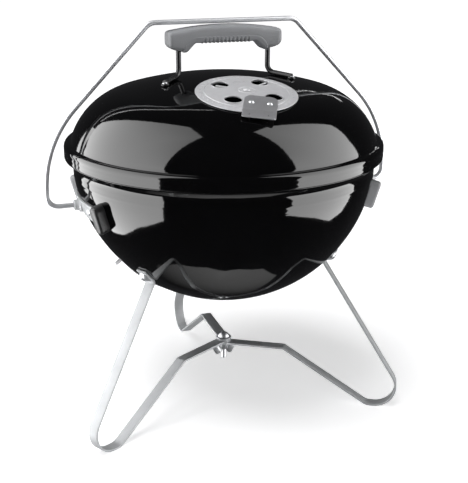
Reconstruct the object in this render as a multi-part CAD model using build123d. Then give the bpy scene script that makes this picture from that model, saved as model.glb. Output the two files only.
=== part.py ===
from build123d import *
import math
import os

# Portable kettle charcoal grill.  Millimetres, +Z up, origin on the kettle's axis at floor level.
# +X runs along the lid handle and the carrying bail, +Y points to the rear leg.

# ---- Driving dimensions: kettle ---------------------------------------------------------------
SHEET = 1.2                  # enamelled steel wall
LID_TOP_Z = 401.3            # top of the dome
CROWN_R = 439.7              # shallow crown of the dome
KNUCKLE_R = 84.8             # tighter shoulder of the dome
KNUCKLE_AXIS_R = 95.3        # radius at which the shoulder arc is centred
BEAD_R = 5.0                 # rolled bead above the skirt
SKIRT_R = 183.7              # widest radius, lid skirt and bowl lip
BEAD_Z = 323.8               # height of the bead's centre
SEAM_Z = 313.2               # the lid's hem rests on the bowl's lip here
HEM_INNER_R = 179.5          # inner edge of the hem turned in under the skirt

BOWL_SPHERE_R = 175.6        # the bowl is spherical from the bottom to its upper band
BOWL_SPHERE_Z = 313.0
BOWL_WALL_R = 174.3          # upright upper band
BAND_R = 92.8                # arc that joins the sphere to the band
BAND_Z = 298.7
FLARE_Z = 304.6              # the wall flares out above this height
LIP_DROP = 0.9               # thickness of the lip's outer rim
LIP_INNER_R = 181.5

# ---- Driving dimensions: lid handle, bail, dampers --------------------------------------------
ROD_D = 6.0
POST_X = 52.7                # handle posts stand this far from the axis
ROD_CORE_Z = 443.5           # the rod's run inside the grip
FOOT_END = (74.0, -22.0)     # the rod's feet run outwards and forwards over the dome
EYE_R, EYE_T = 6.5, 3.0      # flattened eye at the end of each foot
GRIP_HALF = 67.0
GRIP_DEPTH = 25.0
GRIP_TOP_Z, GRIP_SHOULDER_Z = 455.2, 448.2
GRIP_TOP_ROUND, GRIP_FOOT_ROUND = 9.0, 4.0
GRIP_ARCH_Z, GRIP_FOOT_Z = 438.0, 428.5
FLUTES, FLUTE_PITCH, FLUTE_R = 12, 4.6, 1.5

BAIL_D = 5.5
PIVOT_Z = 262.0
BAIL_TOP_Z = 460.0
BAIL_HALF = 207.0            # the bail's widest half-width
BAIL_CORNER_X = 84.8         # half-length of the top bar, at the corner's point
BAIL_KNEE_Z = 333.0          # where the slanting side would meet the upright side
BAIL_TOE_X = 171.0           # the wire ends here, inside the bracket's boss
BAIL_BENDS = (13.0, 130.0, 16.0)

VENT_R, VENT_PITCH_R, VENTS = 9.3, 32.0, 4
DAMPER_R, DAMPER_Y = 55.0, -79.0
DAMPER_T, DAMPER_GAP = 1.0, 0.4
TAB_HALF, TAB_T = 17.5, 1.2
TAB_INNER, TAB_FOLD, TAB_END = 20.0, 54.0, 68.0
TAB_TURN, TAB_SKEW = -5.0, -18.0   # round the disc, then about the middle of its own fold
FLAP_DROP = 7.0              # degrees by which the tab's outer flap is folded down
TAB_RIVET_X = 9.5
RIVET_R, RIVET_RUN = 2.0, 0.05

BOWL_VENT_R, BOWL_VENT_PITCH_R, BOWL_VENTS = 7.5, 22.0, 3
BOWL_DAMPER_R, BOWL_DAMPER_TILT = 38.0, 33.0
BOWL_DAMPERS = {"right": -8.0, "left": 172.0}

# ---- Driving dimensions: legs, brackets, grates -----------------------------------------------
STRAP_W, STRAP_T = 13.0, 2.5
LEG_ANGLES = {"rear": 90.0, "front_left": 210.0, "front_right": 330.0}
TAB_TILT = 47.0              # polar angle of the leg bolts on the bowl, from straight down
TAB_ABOVE, TAB_BELOW = 11.0, 11.5
FOOT_CORNER_R, FOOT_TOE_R = 235.9, 180.5
FOOT_BENDS = (26.0, 15.0)    # outer and inner bend of the foot, with a flat between them
KNEE_R = 76.0
HUB_Z = 69.0
HUB_EYE_R, HUB_BOLT_R = 9.0, 3.0
BOLT_R, BOLT_L = 3.0, 11.0
BOLT_CLEAR = 0.2

STRAP_HALF_Y, STRAP_HALF_Z, BRACKET_T = 70.0, 10.0, 2.0
BOSS_R, BOSS_END_X = 6.0, 177.5
PAD_L, PAD_W, PAD_T = 36.0, 14.5, 14.5
PAD_OFF_AXIS = 22.5
PAD_Z = 264.5

GRATE_T, GRATE_BAR_W = 5.0, 4.0
COOK_R, COOK_PITCH, COOK_RODS = 168.0, 14.0, 23
LEDGE_Z, LEDGE_DEPTH, LEDGE_W = 297.0, 10.0, 16.0
CHARCOAL_R, CHARCOAL_Z, CHARCOAL_PITCH, CHARCOAL_RODS = 131.0, 205.5, 18.0, 13
REST_GAP = 0.3               # clearance under what rests loosely on another piece

CROWN_Z = LID_TOP_Z - CROWN_R
KNUCKLE_Z = CROWN_Z + math.sqrt((CROWN_R - KNUCKLE_R) ** 2 - KNUCKLE_AXIS_R ** 2)
BOWL_CENTRE = Vector(0, 0, BOWL_SPHERE_Z)
CROWN_CENTRE = Vector(0, 0, CROWN_Z)


# ---- Helpers ----------------------------------------------------------------------------------
def polar(radius, degrees, z=0.0):
    return Vector(radius * math.cos(math.radians(degrees)), radius * math.sin(math.radians(degrees)), z)


def disc_of(radius, height, base=0.0):
    """A cylinder on +Z that starts at the given height."""
    return Pos(0, 0, base) * Cylinder(radius, height, align=(Align.CENTER, Align.CENTER, Align.MIN))


def lathe(section):
    """Revolve a section drawn in the XZ plane about the kettle's axis."""
    return revolve(section, Axis.Z, 360)


def in_section(*edges):
    """Close edges given in (radius, height) and lay the face in the XZ plane."""
    return Plane.XZ * make_face(Wire(list(edges)))


def spherical_cap(centre, inner_r, outer_r, frame, radius):
    """The piece of a spherical shell inside a cylinder on the frame's normal."""
    reach = outer_r * 0.5
    core = frame * disc_of(radius, reach, -reach / 2)
    return (Pos(*centre) * Sphere(outer_r) - Pos(*centre) * Sphere(inner_r)) & core


def domed_head(radius, height, base=0.0):
    """A shallow dome on +Z: the cap of the sphere through its rim and its top."""
    ball = (radius ** 2 + height ** 2) / (2 * height)
    whole = Pos(0, 0, base + height - ball) * Sphere(ball)
    return whole & disc_of(radius + 1, height + 1, base)


def rivet(shank_r, length, head_r, head_h):
    """Domed head above the frame's origin, shank and a flat tail below it."""
    tail = disc_of(head_r * 0.75, 1.2, -length - 1.2)
    return domed_head(head_r, head_h) + disc_of(shank_r, length + 0.2, -length) + tail


def frame_on_sphere(centre, radius, tilt, azimuth, hang=False):
    """A plane on a sphere, its normal outwards; tilt is from +Z, or from -Z when it hangs."""
    sign = -1 if hang else 1
    side = math.sin(math.radians(tilt))
    rise = sign * math.cos(math.radians(tilt))
    normal = Vector(side * math.cos(math.radians(azimuth)), side * math.sin(math.radians(azimuth)), rise)
    along = Vector(-math.sin(math.radians(azimuth)), math.cos(math.radians(azimuth)), 0)
    return Plane(origin=centre + normal * radius, x_dir=along, z_dir=normal)


def wire_along(points, bends, diameter):
    """A round wire along straight runs joined by arcs."""
    path = FilletPolyline(*points, radius=bends)
    start = Plane(origin=path @ 0, z_dir=path % 0)
    return sweep(start * Circle(diameter / 2), path=path)


# ---- Lid --------------------------------------------------------------------------------------
DAMPER_TILT = math.degrees(math.asin(-DAMPER_Y / CROWN_R))
LID_DAMPER_FRAME = frame_on_sphere(CROWN_CENTRE, CROWN_R, DAMPER_TILT, -90)


def dome_section(inset):
    """The space under the dome's crown and shoulder, down to the seam."""
    crown, knuckle = CROWN_R - inset, KNUCKLE_R - inset
    tangent = math.atan2(KNUCKLE_AXIS_R, KNUCKLE_Z - CROWN_Z)
    join = (crown * math.sin(tangent), CROWN_Z + crown * math.cos(tangent))
    middle = (crown * math.sin(tangent / 2), CROWN_Z + crown * math.cos(tangent / 2))
    sweep_mid = (tangent + math.pi / 2) / 2
    shoulder = (KNUCKLE_AXIS_R + knuckle * math.sin(sweep_mid), KNUCKLE_Z + knuckle * math.cos(sweep_mid))
    side = (KNUCKLE_AXIS_R + knuckle, KNUCKLE_Z)
    return in_section(
        ThreePointArc((0, CROWN_Z + crown), middle, join),
        ThreePointArc(join, shoulder, side),
        Line(side, (0, KNUCKLE_Z)),
        Line((0, KNUCKLE_Z), (0, CROWN_Z + crown)),
    )


def skirt_section(inset, floor_z):
    """The space inside the skirt and its rolled bead."""
    edge, bead = SKIRT_R - inset, BEAD_R - inset
    axis_r = SKIRT_R - BEAD_R
    eased = bead * math.sqrt(0.5)
    return in_section(
        Line((0, floor_z), (edge, floor_z)),
        Line((edge, floor_z), (edge, BEAD_Z)),
        ThreePointArc((edge, BEAD_Z), (axis_r + eased, BEAD_Z + eased), (axis_r, BEAD_Z + bead)),
        Line((axis_r, BEAD_Z + bead), (0, BEAD_Z + bead)),
        Line((0, BEAD_Z + bead), (0, floor_z)),
    )


def above(z):
    return Pos(0, 0, z) * Box(600, 600, 600, align=(Align.CENTER, Align.CENTER, Align.MIN))


def make_lid_shell():
    outside = (lathe(dome_section(0)) & above(SEAM_Z)) + lathe(skirt_section(0, SEAM_Z))
    hollow = (lathe(dome_section(SHEET)) & above(SEAM_Z)) + lathe(skirt_section(SHEET, SEAM_Z + SHEET))
    shell = outside - hollow - disc_of(HEM_INNER_R, SHEET + 2, SEAM_Z - 1)
    for vent in range(VENTS):
        place = Pos(*polar(VENT_PITCH_R, 45 + 360 * vent / VENTS))
        shell -= LID_DAMPER_FRAME * place * disc_of(VENT_R, 30, -15)
    shell -= LID_DAMPER_FRAME * disc_of(RIVET_R + RIVET_RUN, 20, -10)
    for side in (-1, 1):
        shell -= foot_frame(side) * disc_of(RIVET_R + BOLT_CLEAR, 30, -15)
    return shell


# ---- Lid handle -------------------------------------------------------------------------------
def dome_height(radius):
    return CROWN_Z + math.sqrt(CROWN_R ** 2 - radius ** 2)


def foot_frame(side):
    """The plane on the dome under the eye of one handle foot."""
    x, y = side * FOOT_END[0], FOOT_END[1]
    point = Vector(x, y, dome_height(math.hypot(x, y)))
    normal = (point - CROWN_CENTRE).normalized()
    return Plane(origin=point, x_dir=Vector(0, 1, 0).cross(normal), z_dir=normal)


def make_handle_rod():
    lift = ROD_D / 2 + REST_GAP
    route = []
    for side in (-1, 1):
        eye = foot_frame(side).origin + foot_frame(side).z_dir * lift
        base = Vector(side * POST_X, 0, dome_height(POST_X) + lift)
        half = [eye, base, Vector(side * POST_X, 0, ROD_CORE_Z)]
        route += half if side < 0 else half[::-1]
    rod = wire_along(route, 8.0, ROD_D)
    for side in (-1, 1):
        frame = foot_frame(side)
        rod += frame * disc_of(EYE_R, EYE_T, REST_GAP)
        rod -= frame * disc_of(EYE_R + 2, ROD_D, REST_GAP + EYE_T)
        rod -= frame * disc_of(RIVET_R + BOLT_CLEAR, 12, -2)
    return rod


def grip_outline():
    """Side view of the grip: an arched top, deep ends and a raised underside."""
    end, foot, arch = GRIP_HALF, GRIP_HALF - 9, 36.0
    return Plane.XZ * make_face(Wire([
        ThreePointArc((-end, GRIP_SHOULDER_Z), (0, GRIP_TOP_Z), (end, GRIP_SHOULDER_Z)),
        Line((end, GRIP_SHOULDER_Z), (end, GRIP_FOOT_Z + 5)),
        Line((end, GRIP_FOOT_Z + 5), (foot, GRIP_FOOT_Z)),
        Line((foot, GRIP_FOOT_Z), (foot - 13, GRIP_FOOT_Z + 0.5)),
        Line((foot - 13, GRIP_FOOT_Z + 0.5), (arch, GRIP_ARCH_Z)),
        Line((arch, GRIP_ARCH_Z), (-arch, GRIP_ARCH_Z)),
        Line((-arch, GRIP_ARCH_Z), (13 - foot, GRIP_FOOT_Z + 0.5)),
        Line((13 - foot, GRIP_FOOT_Z + 0.5), (-foot, GRIP_FOOT_Z)),
        Line((-foot, GRIP_FOOT_Z), (-end, GRIP_FOOT_Z + 5)),
        Line((-end, GRIP_FOOT_Z + 5), (-end, GRIP_SHOULDER_Z)),
    ]))


def grip_envelope():
    """The grip's cross-section along X: crowned on top, eased below."""
    tall = GRIP_TOP_Z - GRIP_FOOT_Z
    section = Rectangle(GRIP_DEPTH, tall)
    section = fillet(section.vertices().group_by(Axis.Y)[-1], GRIP_TOP_ROUND)
    section = fillet(section.vertices().group_by(Axis.Y)[0], GRIP_FOOT_ROUND)
    middle = Plane(origin=(0, 0, GRIP_FOOT_Z + tall / 2), x_dir=(0, 1, 0), z_dir=(1, 0, 0))
    return extrude(middle * section, GRIP_HALF + 1, both=True)


def make_grip_blank():
    blank = extrude(grip_outline(), GRIP_DEPTH / 2, both=True) & grip_envelope()
    for flute in range(FLUTES):
        x = (flute - (FLUTES - 1) / 2) * FLUTE_PITCH
        blank -= Pos(x, 0, GRIP_ARCH_Z - 0.4) * Rot(90, 0, 0) * Cylinder(FLUTE_R, GRIP_DEPTH + 2)
    return blank


def insert_region():
    """The lower, ribbed insert lies below this curved seam."""
    seam_x, seam_z, low = 50.0, 446.0, GRIP_FOOT_Z - 5
    outline = Plane.XZ * make_face(Wire([
        Line((-seam_x, low), (-seam_x, GRIP_FOOT_Z)),
        ThreePointArc((-seam_x, GRIP_FOOT_Z), (-seam_x + 5, 440.5), (-seam_x + 18, seam_z)),
        Line((-seam_x + 18, seam_z), (seam_x - 18, seam_z)),
        ThreePointArc((seam_x - 18, seam_z), (seam_x - 5, 440.5), (seam_x, GRIP_FOOT_Z)),
        Line((seam_x, GRIP_FOOT_Z), (seam_x, low)),
        Line((seam_x, low), (-seam_x, low)),
    ]))
    return extrude(outline, GRIP_DEPTH, both=True)


def make_grip(rod):
    blank = make_grip_blank() - rod
    region = insert_region()
    return blank - region, blank & region


def make_handle_fixings():
    """A pan-head screw through each eye and the lid, and its nut inside."""
    screws, nuts = [], []
    for side in (-1, 1):
        frame = foot_frame(side)
        shank = disc_of(RIVET_R, 12, REST_GAP + EYE_T - 12)
        screws.append(frame * (shank + domed_head(4.2, 2.6, REST_GAP + EYE_T)))
        nuts.append(frame * (extrude(RegularPolygon(4.2, 6), 3.2).moved(Pos(0, 0, -SHEET - 3.4))
                             - disc_of(RIVET_R + 0.05, 8, -SHEET - 5)))
    return Compound(children=screws), Compound(children=nuts)


# ---- Lid damper -------------------------------------------------------------------------------
def make_lid_damper():
    low = CROWN_R + DAMPER_GAP
    disc = spherical_cap(CROWN_CENTRE, low, low + DAMPER_T, LID_DAMPER_FRAME, DAMPER_R)
    for vent in range(VENTS):
        place = Pos(*polar(VENT_PITCH_R, 45 + 360 * vent / VENTS))
        disc -= LID_DAMPER_FRAME * place * disc_of(VENT_R, 30, -15)
    disc -= LID_DAMPER_FRAME * disc_of(RIVET_R + RIVET_RUN, 20, -10)
    tab, rivets = make_lid_tab()
    for at in lid_tab_rivet_places():
        disc -= at * disc_of(RIVET_R * 0.8, 12, -8)
    return disc, tab, rivets


def lid_tab_rivet_places():
    return [tab_frame() * Pos(side * TAB_RIVET_X, 0, 0) for side in (-1, 1)]


def tab_frame():
    """The tab's own frame: tangent to the disc's top under the tab's middle, +Y inwards."""
    middle, half_len = (TAB_INNER + TAB_FOLD) / 2, (TAB_FOLD - TAB_INNER) / 2
    top = CROWN_R + DAMPER_GAP + DAMPER_T
    lean = math.degrees(middle / CROWN_R)
    tangent = Pos(0, 0, -CROWN_R) * Rot(lean, 0, 0) * Pos(0, 0, top)
    skew = Pos(0, -half_len, 0) * Rot(0, 0, TAB_SKEW) * Pos(0, half_len, 0)
    return LID_DAMPER_FRAME * Rot(0, 0, TAB_TURN) * tangent * skew


def make_lid_tab():
    half_len = (TAB_FOLD - TAB_INNER) / 2
    flap = TAB_END - TAB_FOLD
    plate = Rectangle(2 * TAB_HALF, 2 * half_len)
    plate = extrude(fillet(plate.vertices().group_by(Axis.Y)[-1], 9), TAB_T)
    hinge = Pos(0, -half_len, 0) * Rot(FLAP_DROP, 0, 0)
    leaf = Box(2 * TAB_HALF, flap + 1, TAB_T, align=(Align.CENTER, Align.MAX, Align.MIN))
    tab = tab_frame() * (plate + hinge * Pos(0, 1, 0) * leaf)
    heads = []
    for at in lid_tab_rivet_places():
        tab -= at * disc_of(RIVET_R * 0.8, 12, -6)
        heads.append(at * (domed_head(3.2, 2.0, TAB_T) + disc_of(RIVET_R * 0.8, TAB_T + 0.9, -0.8)))
    return tab, Compound(children=heads)


def make_lid_damper_rivet():
    top = DAMPER_GAP + DAMPER_T + REST_GAP
    return LID_DAMPER_FRAME * Pos(0, 0, top) * rivet(RIVET_R, top + SHEET + 0.3, 4.5, 2.2)


# ---- Bowl -------------------------------------------------------------------------------------
def bowl_section(inset):
    """The bowl's outside, or its inside when inset by the wall."""
    ball, band, wall = BOWL_SPHERE_R - inset, BAND_R - inset, BOWL_WALL_R - inset
    band_axis = BOWL_WALL_R - BAND_R
    slope = math.atan2(BOWL_SPHERE_Z - BAND_Z, band_axis)
    join = (ball * math.cos(slope), BOWL_SPHERE_Z - ball * math.sin(slope))
    half_ball = (slope + math.pi / 2) / 2
    low = (ball * math.cos(half_ball), BOWL_SPHERE_Z - ball * math.sin(half_ball))
    mid = (band_axis + band * math.cos(slope / 2), BAND_Z - band * math.sin(slope / 2))
    flare = FLARE_Z + inset * 0.4
    rim_r = SKIRT_R if inset == 0 else LIP_INNER_R
    rim_z = SEAM_Z - LIP_DROP if inset == 0 else SEAM_Z
    shoulder_r = wall + (rim_z - flare)
    top = SEAM_Z if inset == 0 else SEAM_Z + 5
    return in_section(
        ThreePointArc((0, BOWL_SPHERE_Z - ball), low, join),
        ThreePointArc(join, mid, (wall, BAND_Z)),
        Line((wall, BAND_Z), (wall, flare)),
        Line((wall, flare), (shoulder_r, rim_z)),
        Line((shoulder_r, rim_z), (rim_r, rim_z + 1e-4)),
        Line((rim_r, rim_z + 1e-4), (rim_r, top)),
        Line((rim_r, top), (0, top)),
        Line((0, top), (0, BOWL_SPHERE_Z - ball)),
    )


def bowl_damper_frame(azimuth):
    return frame_on_sphere(BOWL_CENTRE, BOWL_SPHERE_R, BOWL_DAMPER_TILT, azimuth, hang=True)


def leg_bolt_frame(azimuth):
    return frame_on_sphere(BOWL_CENTRE, BOWL_SPHERE_R, TAB_TILT, azimuth, hang=True)


def bowl_vents(azimuth):
    frame = bowl_damper_frame(azimuth)
    holes = [frame * disc_of(RIVET_R + RIVET_RUN, 20, -10)]
    for vent in range(BOWL_VENTS):
        place = Pos(*polar(BOWL_VENT_PITCH_R, 90 + 360 * vent / BOWL_VENTS))
        holes.append(frame * place * disc_of(BOWL_VENT_R, 30, -15))
    return holes


def bracket_rivet_frames():
    for side in (0, 180):
        for off in (-11, 11):
            yield frame_on_sphere(BOWL_CENTRE, BOWL_SPHERE_R, 90 - 16.9, side + off, hang=True)


def make_bowl_shell(cavity):
    shell = lathe(bowl_section(0)) - cavity
    for azimuth in BOWL_DAMPERS.values():
        for hole in bowl_vents(azimuth):
            shell -= hole
    for azimuth in LEG_ANGLES.values():
        shell -= leg_bolt_frame(azimuth) * disc_of(BOLT_R + BOLT_CLEAR, 20, -10)
    for frame in bracket_rivet_frames():
        shell -= frame * disc_of(RIVET_R, 20, -10)
    return shell


def make_bowl_damper(azimuth):
    """A dished disc that turns on its rivet, with a finger tab pressed out of its upper edge."""
    frame = bowl_damper_frame(azimuth)
    low = BOWL_SPHERE_R + DAMPER_GAP
    disc = spherical_cap(BOWL_CENTRE, low, low + DAMPER_T, frame, BOWL_DAMPER_R)
    for hole in bowl_vents(azimuth):
        disc -= hole
    root = BOWL_DAMPER_R - 5
    drop = root ** 2 / (2 * BOWL_SPHERE_R)
    blade = Box(12, 11, DAMPER_T, align=(Align.CENTER, Align.MIN, Align.CENTER))
    finger = Pos(0, root, low + 0.6 - BOWL_SPHERE_R - drop) * Rot(70, 0, 0) * blade
    return disc + frame * finger


def make_bowl_damper_rivets():
    top = DAMPER_GAP + DAMPER_T + REST_GAP
    body = Pos(0, 0, top) * rivet(RIVET_R, top + SHEET + 0.3, 4.5, 2.2)
    return Compound(children=[bowl_damper_frame(azimuth) * body for azimuth in BOWL_DAMPERS.values()])


# ---- Legs -------------------------------------------------------------------------------------
def leg_path_points(hub_z):
    tilt = math.radians(TAB_TILT)
    off = BOWL_SPHERE_R + STRAP_T / 2
    bolt = Vector(off * math.sin(tilt), BOWL_SPHERE_Z - off * math.cos(tilt))
    along = Vector(math.cos(tilt), math.sin(tilt))
    floor = STRAP_T / 2
    return [bolt + along * TAB_ABOVE, bolt - along * TAB_BELOW, (FOOT_CORNER_R, floor),
            (FOOT_TOE_R, floor), (KNEE_R, hub_z), (0, hub_z)]


def make_leg(azimuth, hub_z):
    """One strap: bolted to the bowl, bent round the foot and back in to the hub."""
    path = FilletPolyline(*leg_path_points(hub_z), radius=[4.0, FOOT_BENDS[0], FOOT_BENDS[1], 4.0])
    edge_view = make_face(offset(path, STRAP_T / 2, side=Side.BOTH))
    strap = extrude(Plane.XZ * edge_view, STRAP_W / 2, both=True)
    strap += disc_of(HUB_EYE_R, STRAP_T, hub_z - STRAP_T / 2)
    strap -= disc_of(HUB_BOLT_R + BOLT_CLEAR, 20, hub_z - 10)
    strap = Rot(0, 0, azimuth) * strap
    return strap - leg_bolt_frame(azimuth) * disc_of(BOLT_R + BOLT_CLEAR, 20, -10)


def make_leg_fixings():
    bolts, nuts = [], []
    for azimuth in LEG_ANGLES.values():
        frame = leg_bolt_frame(azimuth)
        bolts.append(frame * (domed_head(7.5, 5.0, STRAP_T) + disc_of(BOLT_R, BOLT_L, STRAP_T - BOLT_L)))
        nut = extrude(RegularPolygon(5.8, 6), 5.0).moved(Pos(0, 0, -SHEET - 5.3))
        nuts.append(frame * (nut - disc_of(BOLT_R + 0.05, 12, -SHEET - 8)))
    return Compound(children=bolts), Compound(children=nuts)


def make_hub():
    """Bolt down through the three stacked strap ends, with a dished washer on top."""
    stack_top, stack_low = HUB_Z + 1.5 * STRAP_T, HUB_Z - 1.5 * STRAP_T
    washer = disc_of(9.5, 1.5, stack_top) - disc_of(HUB_BOLT_R + BOLT_CLEAR, 4, stack_top - 1)
    bolt = domed_head(7.5, 5.5, stack_top + 1.5) + disc_of(HUB_BOLT_R, stack_top + 1.6 - 44, 44)
    nut_top = stack_low - 0.2
    barrel = disc_of(6.2, 8.0, nut_top - 8.0)
    for side in (-1, 1):
        blade = Pos(side * 9.5, 0, nut_top - 8.5) * Rot(0, side * 28, 0) * Box(9, 2.2, 15)
        barrel += fillet(blade.edges().filter_by(Axis.Y), 2.0)
    nut = barrel - disc_of(HUB_BOLT_R + RIVET_RUN, 40, nut_top - 25)
    return bolt, washer, nut


# ---- Bail and brackets ------------------------------------------------------------------------
def make_bail():
    half = [(BAIL_TOE_X, PIVOT_Z), (BAIL_HALF, PIVOT_Z)]
    half += [(BAIL_HALF, BAIL_KNEE_Z), (BAIL_CORNER_X, BAIL_TOP_Z)]
    route = [Vector(-x, 0, z) for x, z in half] + [Vector(x, 0, z) for x, z in reversed(half)]
    return wire_along(route, list(BAIL_BENDS) + list(reversed(BAIL_BENDS)), BAIL_D)


def make_bracket(side):
    """A steel strap that hugs the bowl, with a boss that carries the bail's end."""
    low = BOWL_SPHERE_R
    skin = Pos(*BOWL_CENTRE) * Sphere(low + BRACKET_T) - Pos(*BOWL_CENTRE) * Sphere(low)
    strap = skin & (Pos(side * 150, 0, PIVOT_Z) * Box(80, 2 * STRAP_HALF_Y, 2 * STRAP_HALF_Z))
    boss = Pos(side * 165, 0, PIVOT_Z) * Rot(0, side * 90, 0) * disc_of(BOSS_R, BOSS_END_X - 165)
    boss -= Pos(*BOWL_CENTRE) * Sphere(low + BRACKET_T / 2)
    bore = Pos(side * 170.6, 0, PIVOT_Z) * Rot(0, side * 90, 0) * disc_of(BAIL_D / 2 + RIVET_RUN, 20)
    bracket = strap + boss - bore
    for frame in bracket_rivet_frames():
        bracket -= frame * disc_of(RIVET_R, 20, -10)
    return bracket


def make_bracket_rivets():
    """Domed heads outside the straps, tails inside the bowl."""
    body = Pos(0, 0, BRACKET_T) * rivet(RIVET_R, BRACKET_T + SHEET + 0.1, 4.0, 1.8)
    return Compound(children=[frame * body for frame in bracket_rivet_frames()])


def pad_azimuths():
    return {"front_right": -PAD_OFF_AXIS, "rear_right": PAD_OFF_AXIS,
            "rear_left": 180 - PAD_OFF_AXIS, "front_left": 180 + PAD_OFF_AXIS}


def make_pad(azimuth, brackets):
    """A moulded stop over a strap's end, standing off the bowl."""
    tilt = math.degrees(math.acos((BOWL_SPHERE_Z - PAD_Z) / BOWL_SPHERE_R))
    frame = frame_on_sphere(BOWL_CENTRE, BOWL_SPHERE_R, tilt, azimuth, hang=True)
    block = extrude(Rot(0, 0, 90) * SlotOverall(PAD_L, PAD_W), PAD_T).moved(Pos(0, 0, -2))
    block = fillet(block.faces().sort_by(Axis.Z)[-1].edges(), 3.0)
    pad = frame * block - Pos(*BOWL_CENTRE) * Sphere(BOWL_SPHERE_R)
    for bracket in brackets:
        pad -= bracket
    return pad


# ---- Grates -----------------------------------------------------------------------------------
def make_grate(radius, z, pitch, rods, cross_at):
    """A flat grid of bars inside a ring."""
    grid = Circle(radius + GRATE_T / 2) - Circle(radius - GRATE_T / 2)
    for k in range(rods):
        x = (k - (rods - 1) / 2) * pitch
        grid += Pos(x, 0) * Rectangle(GRATE_BAR_W, 2 * math.sqrt(radius ** 2 - x ** 2))
    for y in cross_at:
        grid += Pos(0, y) * Rectangle(2 * math.sqrt(radius ** 2 - y ** 2), GRATE_BAR_W)
    return extrude(Pos(0, 0, z) * grid, GRATE_T / 2, both=True)


def make_grate_brackets(cavity):
    """Four small angles welded inside the bowl, which carry the cooking grate."""
    brackets = []
    for k in range(4):
        plate = Pos(BOWL_WALL_R - 2.6, 0, LEDGE_Z - 6) * Box(6, LEDGE_W, 12)
        shelf_r = BOWL_WALL_R - SHEET - LEDGE_DEPTH / 2
        shelf = Pos(shelf_r, 0, LEDGE_Z - 0.8) * Box(LEDGE_DEPTH, LEDGE_W, 1.6)
        inner_cut = Pos(0, 0, LEDGE_Z - 40) * Cylinder(BOWL_WALL_R - SHEET - 1.6, 76.8)
        angle = ((plate - inner_cut) + shelf) & cavity
        brackets.append(Rot(0, 0, 45 + 90 * k) * angle)
    return Compound(children=brackets)


# ---- Build ------------------------------------------------------------------------------------
def build():
    cavity = lathe(bowl_section(SHEET))
    nodes = {"lid_shell": make_lid_shell(), "bowl_shell": make_bowl_shell(cavity)}

    rod = make_handle_rod()
    nodes["handle_rod"] = rod
    nodes["handle_grip"], nodes["handle_grip_insert"] = make_grip(rod)
    nodes["handle_screws"], nodes["handle_nuts"] = make_handle_fixings()

    disc, tab, tab_rivets = make_lid_damper()
    nodes["lid_damper_disc"], nodes["lid_damper_tab"] = disc, tab
    nodes["lid_damper_tab_rivets"] = tab_rivets
    nodes["lid_damper_rivet"] = make_lid_damper_rivet()

    for side, azimuth in BOWL_DAMPERS.items():
        nodes[f"bowl_damper_{side}"] = make_bowl_damper(azimuth)
    nodes["bowl_damper_rivets"] = make_bowl_damper_rivets()

    for level, (name, azimuth) in enumerate(LEG_ANGLES.items()):
        nodes[f"leg_{name}"] = make_leg(azimuth, HUB_Z + (1 - level) * STRAP_T)
    nodes["leg_bolts"], nodes["leg_nuts"] = make_leg_fixings()
    nodes["hub_bolt"], nodes["hub_washer"], nodes["wing_nut"] = make_hub()

    nodes["bail_wire"] = make_bail()
    brackets = {"left": make_bracket(-1), "right": make_bracket(1)}
    for side, bracket in brackets.items():
        nodes[f"bail_bracket_{side}"] = bracket
    nodes["bracket_rivets"] = make_bracket_rivets()
    for name, azimuth in pad_azimuths().items():
        nodes[f"bracket_pad_{name}"] = make_pad(azimuth, brackets.values())

    cook_z = LEDGE_Z + GRATE_T / 2 + REST_GAP
    nodes["grate_brackets"] = make_grate_brackets(cavity)
    nodes["cooking_grate"] = make_grate(COOK_R, cook_z, COOK_PITCH, COOK_RODS, (-70, 70))
    nodes["charcoal_grate"] = make_grate(CHARCOAL_R, CHARCOAL_Z, CHARCOAL_PITCH, CHARCOAL_RODS, (0,))
    return nodes


os.makedirs("parts", exist_ok=True)
for node, shape in build().items():
    export_step(shape, f"parts/{node}.step")
    print(node, round(shape.volume), "mm3", "solids", len(shape.solids()))
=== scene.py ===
"""Portable kettle charcoal grill: detailed pieces, finishes, studio light and camera."""
import logging
import math
from dataclasses import dataclass
from enum import Enum
from typing import Callable, Iterable, Sequence

import bmesh
import bpy
from mathutils import Matrix, Vector


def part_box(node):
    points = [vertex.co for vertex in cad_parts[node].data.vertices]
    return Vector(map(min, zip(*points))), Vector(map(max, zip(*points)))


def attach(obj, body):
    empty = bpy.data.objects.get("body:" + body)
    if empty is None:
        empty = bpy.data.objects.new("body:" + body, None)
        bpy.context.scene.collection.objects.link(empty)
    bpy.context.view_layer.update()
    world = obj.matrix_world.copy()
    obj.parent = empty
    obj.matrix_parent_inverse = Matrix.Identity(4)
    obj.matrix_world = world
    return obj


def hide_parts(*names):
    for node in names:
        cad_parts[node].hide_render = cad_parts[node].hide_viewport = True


LOG = logging.getLogger("kettle_grill")
MM = 0.001
SHELL_STEPS = 176
CLEARANCE = 0.3 * MM
Profile = list[tuple[float, float]]

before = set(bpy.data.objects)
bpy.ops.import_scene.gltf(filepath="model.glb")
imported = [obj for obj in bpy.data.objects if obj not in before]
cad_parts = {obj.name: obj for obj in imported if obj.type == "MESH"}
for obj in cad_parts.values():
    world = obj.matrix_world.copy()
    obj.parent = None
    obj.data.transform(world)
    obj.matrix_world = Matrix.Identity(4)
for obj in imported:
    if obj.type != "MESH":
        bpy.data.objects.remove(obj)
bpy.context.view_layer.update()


class Body(Enum):
    """The rigid bodies that pieces ride on."""

    STAND = "stand"
    LID = "lid"
    LID_VENT = "lid_vent"
    BAIL = "bail"
    BOWL_VENT_RIGHT = "bowl_vent_right"
    BOWL_VENT_LEFT = "bowl_vent_left"
    COOKING_GRATE = "cooking_grate"
    CHARCOAL_GRATE = "charcoal_grate"
    WING_NUT = "wing_nut"


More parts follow.
